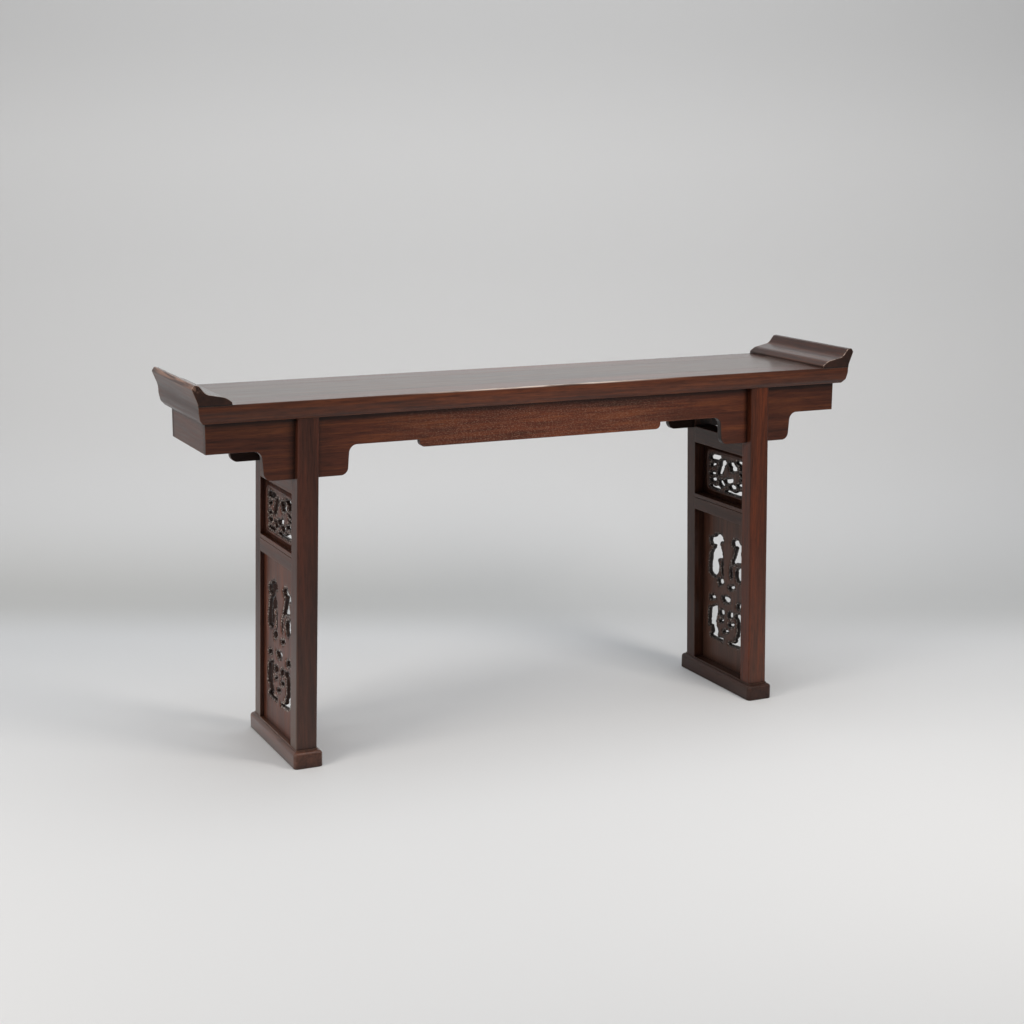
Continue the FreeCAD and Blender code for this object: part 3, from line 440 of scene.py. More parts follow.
# %% Stain, painted shade and painted glints in the carving
MOTTLE = {"Scale": 1 / (4.5 * MM), "Detail": 3.0}
MOTTLE_GAIN = 0.9
STAINED_SPAN = (0.64, 0.95)
FULL_STAIN, STAIN_LOST_TO_GLINTS = 1.1, 0.32
# stain, and painted shade in the hollows and walls of the carving
CARVED_STAIN = "#0F0907"
POINTS = {"Scale": 1 / (3.8 * MM), "Detail": 1.0}
POINTS_SPAN = (0.56, 0.66)
SLOPE_SPAN = (0.12, 0.3)
WALL_SPAN = (0.9, 0.7)
# painted highlight on the carved points
GLINT = "#B9ADA5"


def stained_carving(wood, glints):
    """Dark stain and painted shade in the ground of the carving, and painted glints; more glints
    mean less darkening.
    """
    tree = wood.tree
    depth = add(tree, "Attribute", (), "Fac", attribute_name="carving")
    mottle = add(tree, "TexNoise", {"Vector": wood.place, **MOTTLE}, "Fac")
    mottle = add(tree, "Math", (mottle, MOTTLE_GAIN), "Value", operation="MULTIPLY")
    ground = add(tree, "Math", (depth, mottle), "Value", operation="ADD")
    stain = FULL_STAIN - STAIN_LOST_TO_GLINTS * glints
    lay(wood, CARVED_STAIN, add(tree, "MapRange", (ground, *STAINED_SPAN, 0, stain), "Result"))
    points = add(tree, "TexNoise", {"Vector": wood.place, **POINTS}, "Fac")
    slopes = add(tree, "MapRange", (depth, *SLOPE_SPAN), "Result")
    strands = add(tree, "MapRange", (depth, *WALL_SPAN), "Result")
    lay(wood, GLINT, slopes, strands,
        add(tree, "MapRange", (points, *POINTS_SPAN, 0, glints), "Result"))


print("glints about", round(1 / POINTS["Scale"] / MM, 1), "mm wide")

# %% [markdown]
# ## The clear coat
# The last work on the real table is a thin satin lacquer, brushed on and rubbed down.
# It is nearly clear from above and turns pale where it is seen at a low angle, which
# is what makes the top look grey in the picture. A Principled shader has a coat of its
# own for that. End grain drinks the lacquer, so its coat is thinner, and the level
# faces of the top were polished most.

# %% Coat of one wood
WOOD_IOR = 1.35
COAT_ROUGHNESS = 0.16
GLOSS_STREAKS = (0.3, 0.7)
GLOSS_CHANGE = (-0.05, 0.07)
RIPPLES = {"width": 9 * MM, "stretch": 0.07, "detail": 1.0}
RELIEF_STRENGTH = 0.25
RELIEF_DEPTH = 0.25 * MM
END_COAT_SHARE = 0.3
LEVEL_SPAN = (0.9, 0.98)


def coated(wood, coat, coat_ior, polished, roughness):
    """The shader of a wood: its gloss and relief follow the grain, and a coat is on top."""
    tree = wood.tree
    gloss = add(tree, "MapRange", (
        wood.streaks, *GLOSS_STREAKS, *(roughness + change for change in GLOSS_CHANGE)), "Result")
    relief = add(tree, "Math", (wood.pores, wood.drawn_out(**RIPPLES)), "Value",
                 operation="ADD")
    bump = add(tree, "Bump", {
        "Height": relief, "Strength": RELIEF_STRENGTH, "Distance": RELIEF_DEPTH,
        "Normal": wood.rounded}, "Normal")
    lacquer = add(tree, "MapRange", (wood.across, *END_SPAN, coat, END_COAT_SHARE * coat),
                  "Result")
    if polished:
        lacquer = add(tree, "MapRange", (wood.facing["Z"], *LEVEL_SPAN, lacquer, polished),
                      "Result")
    shader = add(tree, "BsdfPrincipled", {
        "Base Color": wood.colour, "Roughness": gloss, "Normal": bump, "IOR": WOOD_IOR,
        "Coat Weight": lacquer, "Coat Roughness": COAT_ROUGHNESS, "Coat IOR": coat_ior,
        "Coat Normal": bump}, "BSDF")
    add(tree, "OutputMaterial", {"Surface": shader})


print("relief", round(RELIEF_DEPTH / MM, 2), "mm deep")

# %% Layers together
RUBBED_WOOD = "#9A6E55"
USUAL_LAYERS = {"soaked": 0.55, "wear": (0.45, RUBBED_WOOD), "grime": 0.65}
LAYERS = {
    "handled": handled_middle, "waxed": waxed_pores, "soaked": soaked_ends,
    "inner": unpolished_inside, "wear": rubbed_edges, "arris": worn_arris,
    "scuffed": scuffed_foot, "jointed": dirty_joint, "lip": touched_lip,
    "grime": dusty_corners, "under_rail": sooty_band, "carved": stained_carving,
}


def lacquered_wood(name, grain, tones, seed, coat=0.12, coat_ior=1.35, polished=None,
                   roughness=0.36, **layers):
    """Lacquered hardwood with its layers; grain is the axis that it runs along."""
    material, tree = new_tree("lacquered_hardwood_" + name)
    wood = board(tree, grain, seed)
    figured(wood, *tones)
    strengths = {**USUAL_LAYERS, **layers}
    for layer, laid in LAYERS.items():
        if strengths.get(layer):
            laid(wood, strengths[layer])
    coated(wood, coat, coat_ior, polished, roughness)
    return material


print("layers in their order:", ", ".join(LAYERS))

# %% [markdown]
# ## The woods of this table
# All pieces are the same lacquered hardwood, but no two boards match. Every wood below
# gives its tones from pale to dark, a number that picks its stretch of grain, and the
# strength of its layers. One material for all would be simpler, but the left and right
# pieces are partly lit and shaded copies of one wood: the left ones are worn, glossy
# and painted paler, as if in light, and the right ones dull and painted darker, as in shade.

# %% Woods of the top and aprons
woods = {
    # the broad board: brown streaks that show through a full coat
    "top board": lacquered_wood(
        "top_board", "x", ("#613A20", "#442C1C", "#25140B"), 1.0, coat=0.82, coat_ior=1.5),
    # the long edge: painted paler in the middle as a pool of light, with a pale line along its
    # arris that is worn and a painted highlight
    "top rail": lacquered_wood(
        "top_rail", "x", ("#6C391C", "#502816", "#30160C"), 2.0, coat=0.1, coat_ior=1.5,
        polished=0.82, wear=(0.5, RUBBED_WOOD), handled=(1.36, 0.76), arris=0.95),
    # the flanges: dark end grain, pale nicks and a lip rubbed through
    "top end": lacquered_wood(
        "top_end", "y", ("#5A3322", "#3A2018", "#200F09"), 3.0, coat=0.2, coat_ior=1.5,
        polished=0.82, wear=(1.0, "#BA9A88"), soaked=0.72, lip=0.7, jointed=1.0),
    # the long aprons: the warmest red, with painted light and painted sheen dots in the middle,
    # painted shade in the corners and under the frame, and an inside that is dark, unpolished and
    # painted shade
    "apron": lacquered_wood(
        "apron", "x", ("#703C1E", "#532818", "#34180D"), 4.0, grime=0.9,
        handled=(1.38, 0.6), waxed=0.32, under_rail=0.75, inner=0.85),
    # the end aprons: a duller red, with painted shade under the frame, and an inside that is dark,
    # unpolished and painted shade
    "end apron": lacquered_wood(
        "end_apron", "y", ("#5E3525", "#48281B", "#2D170F"), 5.0, coat=0.22,
        under_rail=0.6, inner=0.85),
    # the battens are out of sight: bare wood without any coat
    "batten": lacquered_wood(
        "batten", "y", ("#63402C", "#4D2F20", "#332015"), 11.0, coat=0.0, roughness=0.6),
}
print("woods so far:", len(woods))

# %% Woods of the trestles
WELL_RUBBED = (0.9, RUBBED_WOOD)
HARDLY_RUBBED = (0.15, RUBBED_WOOD)
woods.update({
    # the left leg stands in the light: pale worn edges, and grey low down from scuffs and painted
    # light from the floor
    "left leg": lacquered_wood(
        "left_leg", "z", ("#54291A", "#3E2016", "#220F0A"), 6.0, wear=WELL_RUBBED,
        scuffed=(0.09, 0.4)),
    # the right leg stands in shade: the warmer red shows, with hardly any gloss
    "right leg": lacquered_wood(
        "right_leg", "z", ("#6B3014", "#4D2413", "#2E160C"), 7.0, coat=0.03,
        scuffed=(0.1, 0.0)),
    # the leg behind it: browner and dull, and not scuffed
    "back right leg": lacquered_wood(
        "back_right_leg", "z", ("#4C2C1E", "#3B2218", "#25130D"), 7.5, coat=0.05),
    # rails: sheen on the left; the right one painted a darker, dull brown, a shaded copy
    "left rail": lacquered_wood(
        "left_rail", "y", ("#5E3424", "#4A281B", "#2F170F"), 8.0, coat=0.18,
        wear=(0.7, RUBBED_WOOD), grime=0.4),
    "right rail": lacquered_wood(
        "right_rail", "y", ("#4A2E22", "#3A231A", "#26140E"), 8.5, coat=0.05),
    # panels: thin dry coat, black stain and painted shade in the carving, painted glints on the
    # left one; the right one is darker, a shaded copy
    "left panel": lacquered_wood(
        "left_panel", "z", ("#7A4632", "#563022", "#2F170F"), 9.0, coat=0.08,
        wear=HARDLY_RUBBED, grime=0.4, carved=0.9),
    "right panel": lacquered_wood(
        "right_panel", "z", ("#5A3829", "#452A1F", "#2B1710"), 9.5, coat=0.03,
        wear=HARDLY_RUBBED, grime=0.35, carved=0.5, scuffed=(0.0, 0.07)),
    # feet: kicked pale along their edges; the left one is glossy, the right one dull and painted
    # darker, a shaded copy
    "left foot": lacquered_wood(
        "left_foot", "y", ("#70493A", "#58372A", "#3A231A"), 10.0, coat=0.8,
        wear=WELL_RUBBED, soaked=0.3),
    "right foot": lacquered_wood(
        "right_foot", "y", ("#482D23", "#38231C", "#25150F"), 10.5, coat=0.0,
        wear=WELL_RUBBED, soaked=0.0),
})
print("woods:", len(woods))

# %% [markdown]
# ## A wood for every piece
# A table maker cuts each piece with the grain along its length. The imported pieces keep
# their shapes and only get their wood: the start of each name says which. A list of
# every single name would work too, but pieces in pairs share their start.

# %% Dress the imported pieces
WOOD_OF = {
    "top_board": "top board",
    "top_rail": "top rail",
    "top_end": "top end",
    "top_batten": "batten",
    "apron_end": "end apron",
    "apron_front": "apron",
    "apron_back": "apron",
    "leg_front_left": "left leg",
    "leg_back_left": "left leg",
    "leg_front_right": "right leg",
    "leg_back_right": "back right leg",
    "trestle_top_rail_left": "left rail",
    "trestle_mid_rail_left": "left rail",
    "trestle_top_rail_right": "right rail",
    "trestle_mid_rail_right": "right rail",
    "upper_panel_left": "left panel",
    "lower_panel_left": "left panel",
    "upper_panel_right": "right panel",
    "lower_panel_right": "right panel",
    "foot_left": "left foot",
    "foot_right": "right foot",
}


def wear_wood(piece, name):
    """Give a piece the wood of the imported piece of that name, in its only slot."""
    start = max((start for start in WOOD_OF if name.startswith(start)), key=len)
    piece.data.materials.clear()
    piece.data.materials.append(woods[WOOD_OF[start]])


for name, node in nodes.items():
    wear_wood(node, name)
print("dressed:", len(nodes))

# %% [markdown]
# ## Carved panels
# Each trestle holds two openwork panels: a roundel above, a cloud pair and a vase motif
# below. On the real table a fretsaw cuts the openings, and a chisel then rounds every
# strand and leaves knobs and small facets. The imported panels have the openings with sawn
# walls only. A Bevel modifier could round their edges, but only by one narrow fillet,
# so the faces around the openings are laid out again as a fine net, and each point of
# it is lowered by how near it is to an opening.

# %% Find the face that holds the openings
SAME_DIRECTION = 0.9999


def boundary_loops(faces):
    """Closed loops of the vertices around a set of connected faces."""
    face_set = set(faces)
    following = {}
    for face in faces:
        for loop in face.loops:
            if not any(other in face_set for other in loop.edge.link_faces if other is not face):
                following[loop.vert] = loop.link_loop_next.vert
    loops = []
    while following:
        first, vert = next(iter(following.items()))
        ring = [first]
        del following[first]
        while vert is not first:
            ring.append(vert)
            vert = following.pop(vert)
        loops.append(ring)
    return loops


def from_lowest(ring):
    """The same ring of vertices, started at its lowest one, so that it never varies."""
    start = min(range(len(ring)), key=lambda place: (ring[place].co.z, ring[place].co.y))
    return ring[start:] + ring[:start]


def openwork_face(bm, side):
    """The flat faces on one side that the openings pierce; their outline and openings."""
    bm.faces.index_update()
    waiting = {face for face in bm.faces if face.normal.dot(side) > SAME_DIRECTION}
    best, best_loops = [], []
    while waiting:
        patch, edge_of_patch = [], [waiting.pop()]
        while edge_of_patch:
            face = edge_of_patch.pop()
            patch.append(face)
            for edge in face.edges:
                for other in edge.link_faces:
                    if other in waiting:
                        waiting.remove(other)
                        edge_of_patch.append(other)
        loops = boundary_loops(patch)
        if len(loops) > len(best_loops):
            best, best_loops = patch, loops
    best.sort(key=lambda face: face.index)
    rings = sorted((from_lowest(ring) for ring in best_loops), key=lambda ring: tuple(ring[0].co))
    outline = max(rings, key=lambda ring: max((vert.co - ring[0].co).length for vert in ring))
    return best, outline, [ring for ring in rings if ring is not outline]


print("a face counts as flat within", round(math.degrees(math.acos(SAME_DIRECTION)), 1), "degrees")

# %% [markdown]
# ## The net
# The net has a point every millimetre near an opening and few on plain wood, because
# only the carved band needs them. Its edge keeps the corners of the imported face, so
# that it joins the rest of the panel, and the rims of the openings are walked in even
# steps. A triangulation that is tied to these lines fills the rest. A Remesh modifier
# would be shorter to write, but it would round the frame of the panel as well.

# %% Rings and rims
CARVING_NET = 1.1 * MM
RIM_STEP = 1.4 * MM
RIM_SEARCH_STEP = RIM_STEP / 4
FEWEST_RIM_POINTS = 8
CARVED_REACH = 8.5 * MM


def even_ring(ring, step):
    """The same closed ring of flat points, walked in equal steps of about the length given."""
    closed = np.vstack([ring, ring[:1]])
    walked = np.concatenate([[0], np.cumsum(np.linalg.norm(np.diff(closed, axis=0), axis=1))])
    count = max(FEWEST_RIM_POINTS, round(walked[-1] / step))
    stops = np.linspace(0, walked[-1], count, endpoint=False)
    return np.stack([np.interp(stops, walked, closed[:, part]) for part in (0, 1)], axis=1)


def finer_ring(ring, step):
    """The same closed ring of flat points, divided so that no side is longer than step."""
    points = []
    for start, end in zip(ring, np.roll(ring, -1, axis=0)):
        parts = max(1, math.ceil(np.linalg.norm(end - start) / step))
        points += [start + (end - start) * part / parts for part in range(parts)]
    return np.array(points)


def rim_search(rings):
    """A tree that finds the nearest rim point of a set of outlines."""
    points = np.concatenate([finer_ring(ring, RIM_SEARCH_STEP) for ring in rings])
    tree = kdtree.KDTree(len(points))
    for index, point in enumerate(points):
        tree.insert((*point, 0), index)
    tree.balance()
    return tree


def gap_to(rims, spot):
    """How far a flat spot is from the nearest rim."""
    return rims.find((*spot, 0))[2]


def inside(points, rings):
    """Even-odd test of flat points against closed rings."""
    result = np.zeros(len(points), bool)
    for ring in rings:
        for (ax, ay), (bx, by) in zip(ring, np.roll(ring, -1, axis=0)):
            if ay == by:
                continue
            crosses = (ay > points[:, 1]) != (by > points[:, 1])
            meets = ax + (points[:, 1] - ay) * (bx - ax) / (by - ay)
            result ^= crosses & (points[:, 0] < meets)
    return result


print("carved band around each opening:", round(CARVED_REACH / MM, 1), "mm wide")

# %% Lay the net over the openwork
PLAIN_NET_STEP = 6
ROW_SPACING = 0.98
ROW_SHIFT = 0.5
NET_CLEARANCE = 0.7
NET_MARGIN = 0.5
NET_TOLERANCE = 1e-7


def net_points(outline, rims):
    """Points of the net in even rows, close near the openings and sparse elsewhere."""
    low, high = outline.min(axis=0), outline.max(axis=0)
    columns, rows = ((high - low) / CARVING_NET).astype(int)
    grid = []
    for row in range(1, rows):
        for column in range(1, columns):
            shift = ROW_SHIFT * (row % 2)
            spot = low + CARVING_NET * np.array((column + shift, row * ROW_SPACING))
            gap = gap_to(rims, spot)
            plain = row % PLAIN_NET_STEP == 0 and column % PLAIN_NET_STEP == 0
            if gap > NET_CLEARANCE * CARVING_NET and (gap < CARVED_REACH or plain):
                grid.append(spot)
    grid = np.array(grid)
    margin = NET_MARGIN * CARVING_NET
    return grid[((grid > low + margin) & (grid < high - margin)).all(axis=1)]


def net_over(outline, openings, rims):
    """Flat points and triangles that fill the outline around the openings."""
    rings = [outline] + openings
    grid = net_points(outline, rims)
    points = np.concatenate(rings + [grid[inside(grid, rings)]])
    edges, first = [], 0
    for ring in rings:
        edges += [(first + place, first + (place + 1) % len(ring)) for place in range(len(ring))]
        first += len(ring)
    made = geometry.delaunay_2d_cdt([Vector(point) for point in points], edges, [], 0,
                                    NET_TOLERANCE)
    flat = np.array([tuple(point) for point in made[0]])
    triangles = np.array([tuple(face) for face in made[2]])
    keep = inside(flat[triangles].mean(axis=1), rings)
    place_of = {given: place for place, givens in enumerate(made[3]) for given in givens}
    return flat, triangles[keep], place_of


print("net every", round(CARVING_NET / MM, 1), "mm")

# %% [markdown]
# ## The chisel
# A carver first rounds the rims of the openings, then runs a shallow groove along each
# strand and cuts small hollows that leave knobs between them. Here one function gives
# the depth of the cut at any spot: a quarter round at the rim, a groove at a fixed gap
# from it, hollows from a Voronoi pattern, and small facets from noise. The cut fades
# out on plain wood.

# %% Depth of the cut
ROUNDING_WIDTH = 2.6 * MM
ROUNDING_DEPTH = 0.9 * MM
GROOVE_GAP = 4.6 * MM
GROOVE_HALF_WIDTH = 1.2 * MM
GROOVE_DEPTH = 0.6 * MM
KNOB_SIZE = 6.5 * MM
KNOB_SPREAD = 1.25
KNOB_DEPTH = 1.5 * MM
FACET_SIZE = 4.0 * MM
FACET_DEPTH = 0.6 * MM
FADE_RATE = 3


def lowered(spot, gap):
    """How far the chisel has lowered a spot, by its gap to the nearest rim."""
    if gap > CARVED_REACH:
        return 0.0
    near = 1 - min(gap / ROUNDING_WIDTH, 1)
    rounding = ROUNDING_DEPTH * (1 - math.sqrt(1 - near ** 2))
    across_groove = min(abs(gap - GROOVE_GAP) / GROOVE_HALF_WIDTH, 1)
    groove = GROOVE_DEPTH * (1 + math.cos(math.pi * across_groove)) / 2
    place = Vector((*spot, 0))
    fade = min(1.0, FADE_RATE * (1 - gap / CARVED_REACH))
    to_knob = noise.voronoi(place / KNOB_SIZE)[0][0]
    knobs = KNOB_DEPTH * min(1.0, KNOB_SPREAD * to_knob) ** 2
    facets = FACET_DEPTH * (0.5 + noise.noise(place / FACET_SIZE))
    return max(0.0, rounding + fade * (groove + knobs + facets))


print("deepest cut about", round((GROOVE_DEPTH + KNOB_DEPTH + FACET_DEPTH) / MM, 1), "mm")

# %% Walls of the openings
WALL_ROWS = 4
WALL_BULGE = 1.2 * MM
WALL_ROOM_SHARE = 0.45
WALL_FACETS = 0.6


def room_across(ring, inward):
    """For each point, the radius of the largest round tool that still fits beside it."""
    room = []
    for point, direction in zip(ring, inward):
        gaps = ring - point
        ahead = gaps @ direction
        facing = ahead > 0
        room.append(np.min(np.sum(gaps[facing] ** 2, axis=1) / (2 * ahead[facing]))
                    if facing.any() else WALL_BULGE)
    return np.array(room)


def add_wall(bm, ring, top, bottom, rise):
    """The faceted wall of one opening, between its rims on the two sides; gives its points."""
    after, before = np.roll(ring, -1, axis=0), np.roll(ring, 1, axis=0)
    turning = np.sign(np.sum(ring[:, 0] * after[:, 1] - after[:, 0] * ring[:, 1]))
    tangent = (after - before) * turning
    inward = np.stack([-tangent[:, 1], tangent[:, 0]], axis=1)
    inward /= np.linalg.norm(inward, axis=1)[:, None]
    bulges = np.minimum(WALL_BULGE, WALL_ROOM_SHARE * room_across(ring, inward))
    rows = [top]
    for row in range(1, WALL_ROWS):
        line = []
        swell = math.sin(math.pi * row / WALL_ROWS)
        for upper, lower, (across, up), bulge in zip(top, bottom, inward, bulges):
            spot = upper.co.lerp(lower.co, row / WALL_ROWS)
            facets = 1 + WALL_FACETS * noise.noise(spot / FACET_SIZE)
            line.append(bm.verts.new(
                spot + (Vector((0, across, 0)) + rise * up) * bulge * swell * facets))
        rows.append(line)
    rows.append(bottom)
    for upper, lower in zip(rows, rows[1:]):
        for index in range(len(ring)):
            after = (index + 1) % len(ring)
            bm.faces.new((upper[index], upper[after], lower[after], lower[index]))
    return [vert for line in rows[1:-1] for vert in line]


print("rows of facets in a wall:", WALL_ROWS)

# %% [markdown]
# ## From sawn to carved
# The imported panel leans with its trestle, so its two directions are measured first:
# outwards, and up along it. Then the sawn faces and walls are taken out, a net with the
# cut of the chisel goes in on either side, and new walls join the two. What is left of
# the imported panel, its frame edges and its raised bead, isn't touched.

# %% Take out the sawn openwork
SAME_POINT = 0.01 * MM


def panel_plane(bm):
    """The outward direction of a leaning panel, and the direction that climbs it."""
    wide = max(bm.faces, key=lambda face: face.calc_area() * abs(face.normal.x))
    normal = wide.normal.copy() * math.copysign(1, wide.normal.x * wide.calc_center_median().x)
    rise = Vector((0, 0, 1)) - normal * normal.z
    rise.normalize()
    return normal, rise


def take_out(bm, faces, is_sawn):
    """Delete the flat openwork faces and the sawn walls, and what hangs loose after."""
    bmesh.ops.delete(bm, geom=faces, context="FACES_ONLY")
    bmesh.ops.delete(bm, geom=[vert for vert in bm.verts if is_sawn(vert)], context="VERTS")
    bare = [edge for edge in bm.edges if not edge.link_faces]
    bmesh.ops.delete(bm, geom=bare, context="EDGES")


def new_piece(bm, name):
    """Turn a finished mesh into a piece of the table."""
    mesh = bpy.data.meshes.new(name)
    bm.to_mesh(mesh)
    bm.free()
    piece = bpy.data.objects.new(name, mesh)
    bpy.context.scene.collection.objects.link(piece)
    return piece


print("points closer than", SAME_POINT / MM, "mm are one")

# %% Lay the carved net on one side
DEEPEST = 3.0 * MM
DEPTH_SHARE, NEARNESS_SHARE = 0.55, 0.45


def carved_side(bm, carving, outline, openings, rims, place_at):
    """The carved net on one side of a panel; gives the rim points of each opening."""
    flat, triangles, place_of = net_over(outline, openings, rims)
    joined = {place_of[index] for index in range(len(outline))}
    verts = []
    for index, spot in enumerate(flat):
        gap = gap_to(rims, spot)
        depth = 0.0 if index in joined else lowered(spot, gap)
        verts.append(bm.verts.new(place_at(spot, depth)))
        nearness = max(0.0, 1 - gap / CARVED_REACH)
        verts[-1][carving] = min(1.0, DEPTH_SHARE * depth / DEEPEST
                                 + NEARNESS_SHARE * nearness)
    for triangle in triangles:
        bm.faces.new([verts[index] for index in triangle])
    first = len(outline)
    rows = []
    for ring in openings:
        rows.append([verts[place_of[first + index]] for index in range(len(ring))])
        first += len(ring)
    return rows


def closed_up(bm):
    """Clear loose points, join what meets, turn the faces out; gives the open edges left."""
    loose = [vert for vert in bm.verts if not vert.link_faces]
    bmesh.ops.delete(bm, geom=loose, context="VERTS")
    bmesh.ops.remove_doubles(bm, verts=bm.verts, dist=SAME_POINT)
    bmesh.ops.recalc_face_normals(bm, faces=bm.faces)
    return sum(not edge.is_manifold for edge in bm.edges)


print("deepest cut counts for", DEPTH_SHARE, "and a near rim for", NEARNESS_SHARE)

# %% Carve a panel
SAWN_WITHIN = RIM_STEP / 6
SHARP_ANGLE = math.radians(40)


def carved_panel(level):
    """A copy of an imported left panel with its openwork drawn finer, rounded and faceted."""
    bm = bmesh.new()
    bm.from_mesh(nodes[level + "_left"].data)
    carving = bm.verts.layers.float.new("carving")
    bmesh.ops.remove_doubles(bm, verts=bm.verts, dist=SAME_POINT)
    bm.normal_update()
    normal, rise = panel_plane(bm)

    def flat_of(vert):
        return vert.co.y, vert.co.dot(rise)

    def flat_ring(ring):
        return np.array([flat_of(vert) for vert in ring])

    def on_side(reach, inward):
        return lambda spot, depth: (Vector((0, spot[0], 0)) + rise * spot[1]
                                    + normal * (reach + depth * inward))

    sides = [openwork_face(bm, side) for side in (normal, -normal)]
    sawn_rims = rim_search([flat_ring(ring) for faces, outline, rings in sides for ring in rings])
    openings = [even_ring(flat_ring(ring), RIM_STEP) for ring in sides[0][2]]
    rims = rim_search(openings)
    outlines = [flat_ring(outline) for faces, outline, rings in sides]
    reaches = [outline[0].co.dot(normal) for faces, outline, rings in sides]
    take_out(bm, [face for side in sides for face in side[0]],
             lambda vert: gap_to(sawn_rims, flat_of(vert)) < SAWN_WITHIN)
    rim_rows = [carved_side(bm, carving, outline, openings, rims, on_side(reach, inward))
                for outline, reach, inward in zip(outlines, reaches, (-1, 1))]
    for ring, top, bottom in zip(openings, *rim_rows):
        for vert in add_wall(bm, ring, top, bottom, rise):
            vert[carving] = 1.0
    open_edges = closed_up(bm)
    piece = new_piece(bm, "carved_" + level + "_left")
    piece.data.shade_smooth()
    piece.data.set_sharp_from_angle(angle=SHARP_ANGLE)
    print(piece.name, "triangles:", len(piece.data.polygons), "openings:", len(openings),
          "open edges:", open_edges)
    return piece


print("sharp past", round(math.degrees(SHARP_ANGLE)), "degrees")

# %% [markdown]
# ## The other trestle
# The two trestles of the table are mirror images, carving included. Carving the right
# panels again would take twice as long, so each finished left panel is mirrored across
# the middle of the table. That turns its faces inside out, so they are turned back.

# %% Put the carved panels in place
def mirrored(piece, name):
    """The same carving for the other trestle, turned over across the middle of the table."""
    bm = bmesh.new()
    bm.from_mesh(piece.data)
    bmesh.ops.scale(bm, vec=(-1, 1, 1), verts=bm.verts)
    bmesh.ops.recalc_face_normals(bm, faces=bm.faces)
    return new_piece(bm, name)


for level in ("upper_panel", "lower_panel"):
    left_panel = carved_panel(level)
    right_panel = mirrored(left_panel, "carved_" + level + "_right")
    for panel, name in ((left_panel, level + "_left"), (right_panel, level + "_right")):
        wear_wood(panel, name)
        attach(panel, "root")
        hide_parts(name)
print("carved panels in place")

# %% [markdown]
# ## The studio
# The table stands on a pale sweep: a floor that bends up into a wall behind it. The
# sweep is square to the camera, so its bend shows as the level band in the picture.
# A flat floor and a separate wall would leave a hard line there.

# %% Sweep
SWEEP_NEAR = -2.3
SWEEP_BEND_START = 1.1
SWEEP_BEND_RADIUS = 1.0
SWEEP_TOP = 6.0
SWEEP_HALF_WIDTH = 9.0
SWEEP_STEPS = 24

profile = [(SWEEP_NEAR, 0.0)]
for step in range(SWEEP_STEPS + 1):
    angle = math.pi / 2 * step / SWEEP_STEPS
    profile.append((SWEEP_BEND_START + SWEEP_BEND_RADIUS * math.sin(angle),
                    SWEEP_BEND_RADIUS * (1 - math.cos(angle))))
profile.append((profile[-1][0], SWEEP_TOP))
corners = [view_ahead * ahead + view_across * across + Vector((0, 0, up))
           for ahead, up in profile for across in (-SWEEP_HALF_WIDTH, SWEEP_HALF_WIDTH)]
faces = [(2 * row, 2 * row + 1, 2 * row + 3, 2 * row + 2) for row in range(len(profile) - 1)]
sweep_mesh = bpy.data.meshes.new("sweep")
sweep_mesh.from_pydata(corners, [], faces)
sweep_mesh.shade_smooth()
sweep = bpy.data.objects.new("sweep", sweep_mesh)
bpy.context.scene.collection.objects.link(sweep)
print("sweep strips:", len(faces))

# %% [markdown]
# ## Backdrop paper
# Studio backdrops are matt paper from a wide roll: no gloss, and a soft dim band where
# the paper bends, because it faces away from the lamps there. Here that is painted shade:
# the paper is painted a little darker high up and in the bend, by its own height and
# distance, and the bend also holds a painted shadow of the table, stronger to the left.
# Lamps could be masked for the same effect, but then the light on the table would change too.

# %% Paper material
PAPER_FLOOR = "#E1E5E9"
PAPER_WALL = "#DADDE0"
# painted shade: the paper is darker high up, and in the bend, where it also holds a painted shadow
# of the table
PAPER_TOP = "#CDD0D3"
PAPER_CREASE = "#CDD0D1"
WALL_HEIGHTS = (0.0, 0.5)
TOP_HEIGHTS = (1.3, 1.85)
CREASE_NEAR = (0.62, 1.06)
CREASE_FAR = (1.8, 1.16)
CREASE_ACROSS = (-0.6, 0.5, 1.0, 0.6)
PAPER_ROUGHNESS = 0.9
PAPER_SPECULAR = 0.2

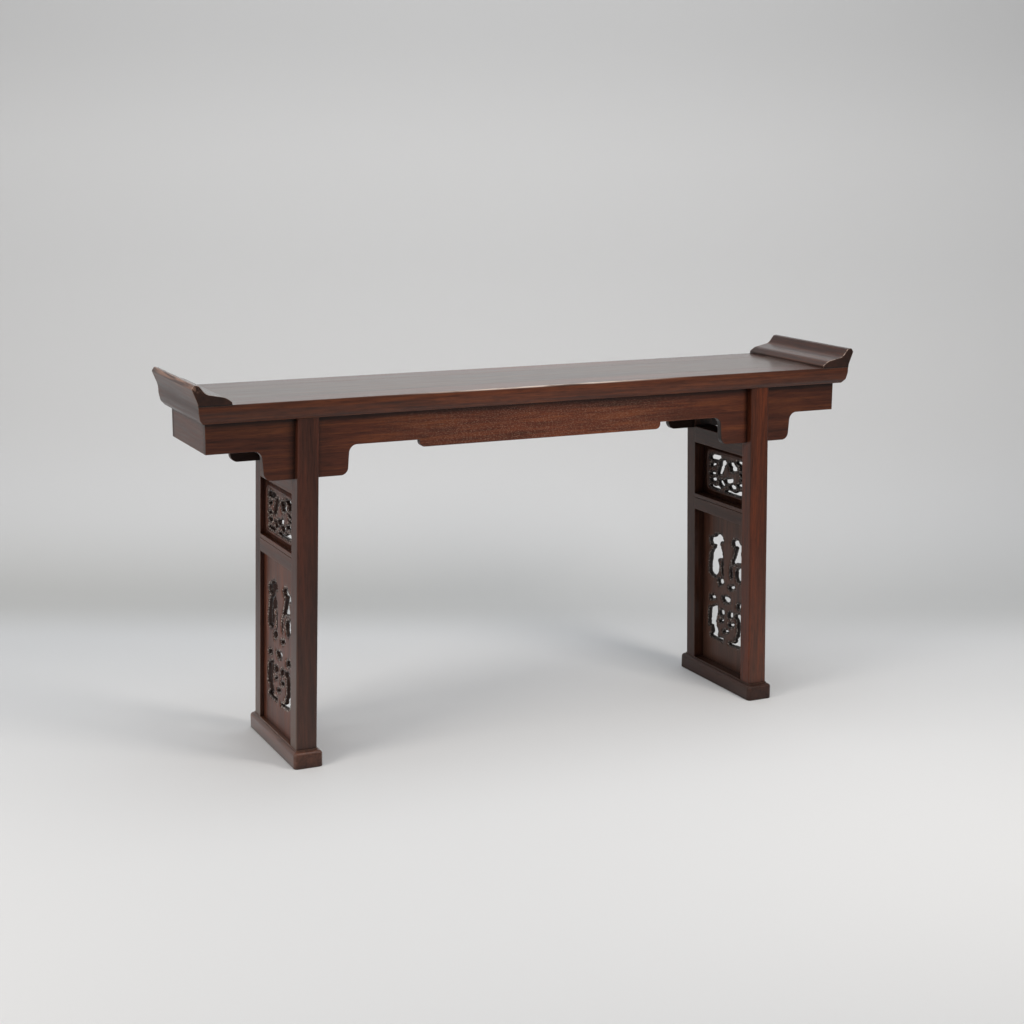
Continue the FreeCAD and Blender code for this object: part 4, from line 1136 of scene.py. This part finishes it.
paper_material, tree = new_tree("matt_backdrop_paper")
place = add(tree, "TexCoord", (), "Object")
height = add(tree, "SeparateXYZ", (place,), "Z")
ahead = add(tree, "VectorMath", (place, view_ahead), "Value", operation="DOT_PRODUCT")
across = add(tree, "VectorMath", (place, view_across), "Value", operation="DOT_PRODUCT")
wall, top, near, far = (
    add(tree, "MapRange", (value, *span), "Result", interpolation_type="SMOOTHSTEP")
    for value, span in ((height, WALL_HEIGHTS), (height, TOP_HEIGHTS),
                        (ahead, CREASE_NEAR), (ahead, CREASE_FAR)))
crease = add(tree, "MapRange", (across, *CREASE_ACROSS), "Result")
for share in (near, far):
    crease = add(tree, "Math", (crease, share), "Value", operation="MULTIPLY")
paper = linear(PAPER_FLOOR)
for share, tone in ((wall, PAPER_WALL), (top, PAPER_TOP), (crease, PAPER_CREASE)):
    paper = add(tree, "Mix", {"Factor": share, "A": paper, "B": linear(tone)}, "Result",
                data_type="RGBA")
shader = add(tree, "BsdfPrincipled", {
    "Base Color": paper, "Roughness": PAPER_ROUGHNESS,
    "Specular IOR Level": PAPER_SPECULAR}, "BSDF")
add(tree, "OutputMaterial", {"Surface": shader})
sweep_mesh.materials.append(paper_material)
print("nodes in the paper:", len(tree.nodes))

# %% [markdown]
# ## Lamps
# The picture has soft light from three sides: a warm box on the left that gives the
# left faces their sheen, a weaker one near the front right, and a wide one overhead
# for the floor. Sun lamps would throw hard shadows, so area lamps are used. The world
# fills the rest with a plain pale light, and the lamps stay at a level at which a
# colour renders about as it is written.

# %% Soft boxes
WARM_WHITE = "#FFF4E9"
TABLE_MIDDLE = (0, 0.3, 0.2)
SOFT_BOXES = {
    "left_soft_box": ((-3.5, -1.0, 2.05), TABLE_MIDDLE, 1.6, 52, WARM_WHITE),
    "right_soft_box": ((1.0, -1.75, 2.0), TABLE_MIDDLE, 0.7, 23, WARM_WHITE),
    "overhead_soft_box": ((-0.2, -0.1, 3.4), (0, 0.6, 0), 3.0, 40, "#FFFFFF"),
}

for name, (place, aim, width, power, colour) in SOFT_BOXES.items():
    data = bpy.data.lights.new(name, "AREA")
    data.shape = "SQUARE"
    data.size = width
    data.energy = power
    data.color = linear(colour)[:3]
    lamp = bpy.data.objects.new(name, data)
    lamp.location = place
    lamp.rotation_euler = (Vector(aim) - Vector(place)).to_track_quat("-Z", "Y").to_euler()
    bpy.context.scene.collection.objects.link(lamp)
print("soft boxes:", len(SOFT_BOXES))

# %% World and view
WORLD_COLOUR = "#F6F4F2"
WORLD_STRENGTH = 0.375

world = bpy.data.worlds.new("studio")
world.use_nodes = True
background = world.node_tree.nodes["Background"].inputs
background["Color"].default_value = linear(WORLD_COLOUR)
background["Strength"].default_value = WORLD_STRENGTH
bpy.context.scene.world = world
bpy.context.scene.view_settings.view_transform = "Standard"
print("world strength:", WORLD_STRENGTH)
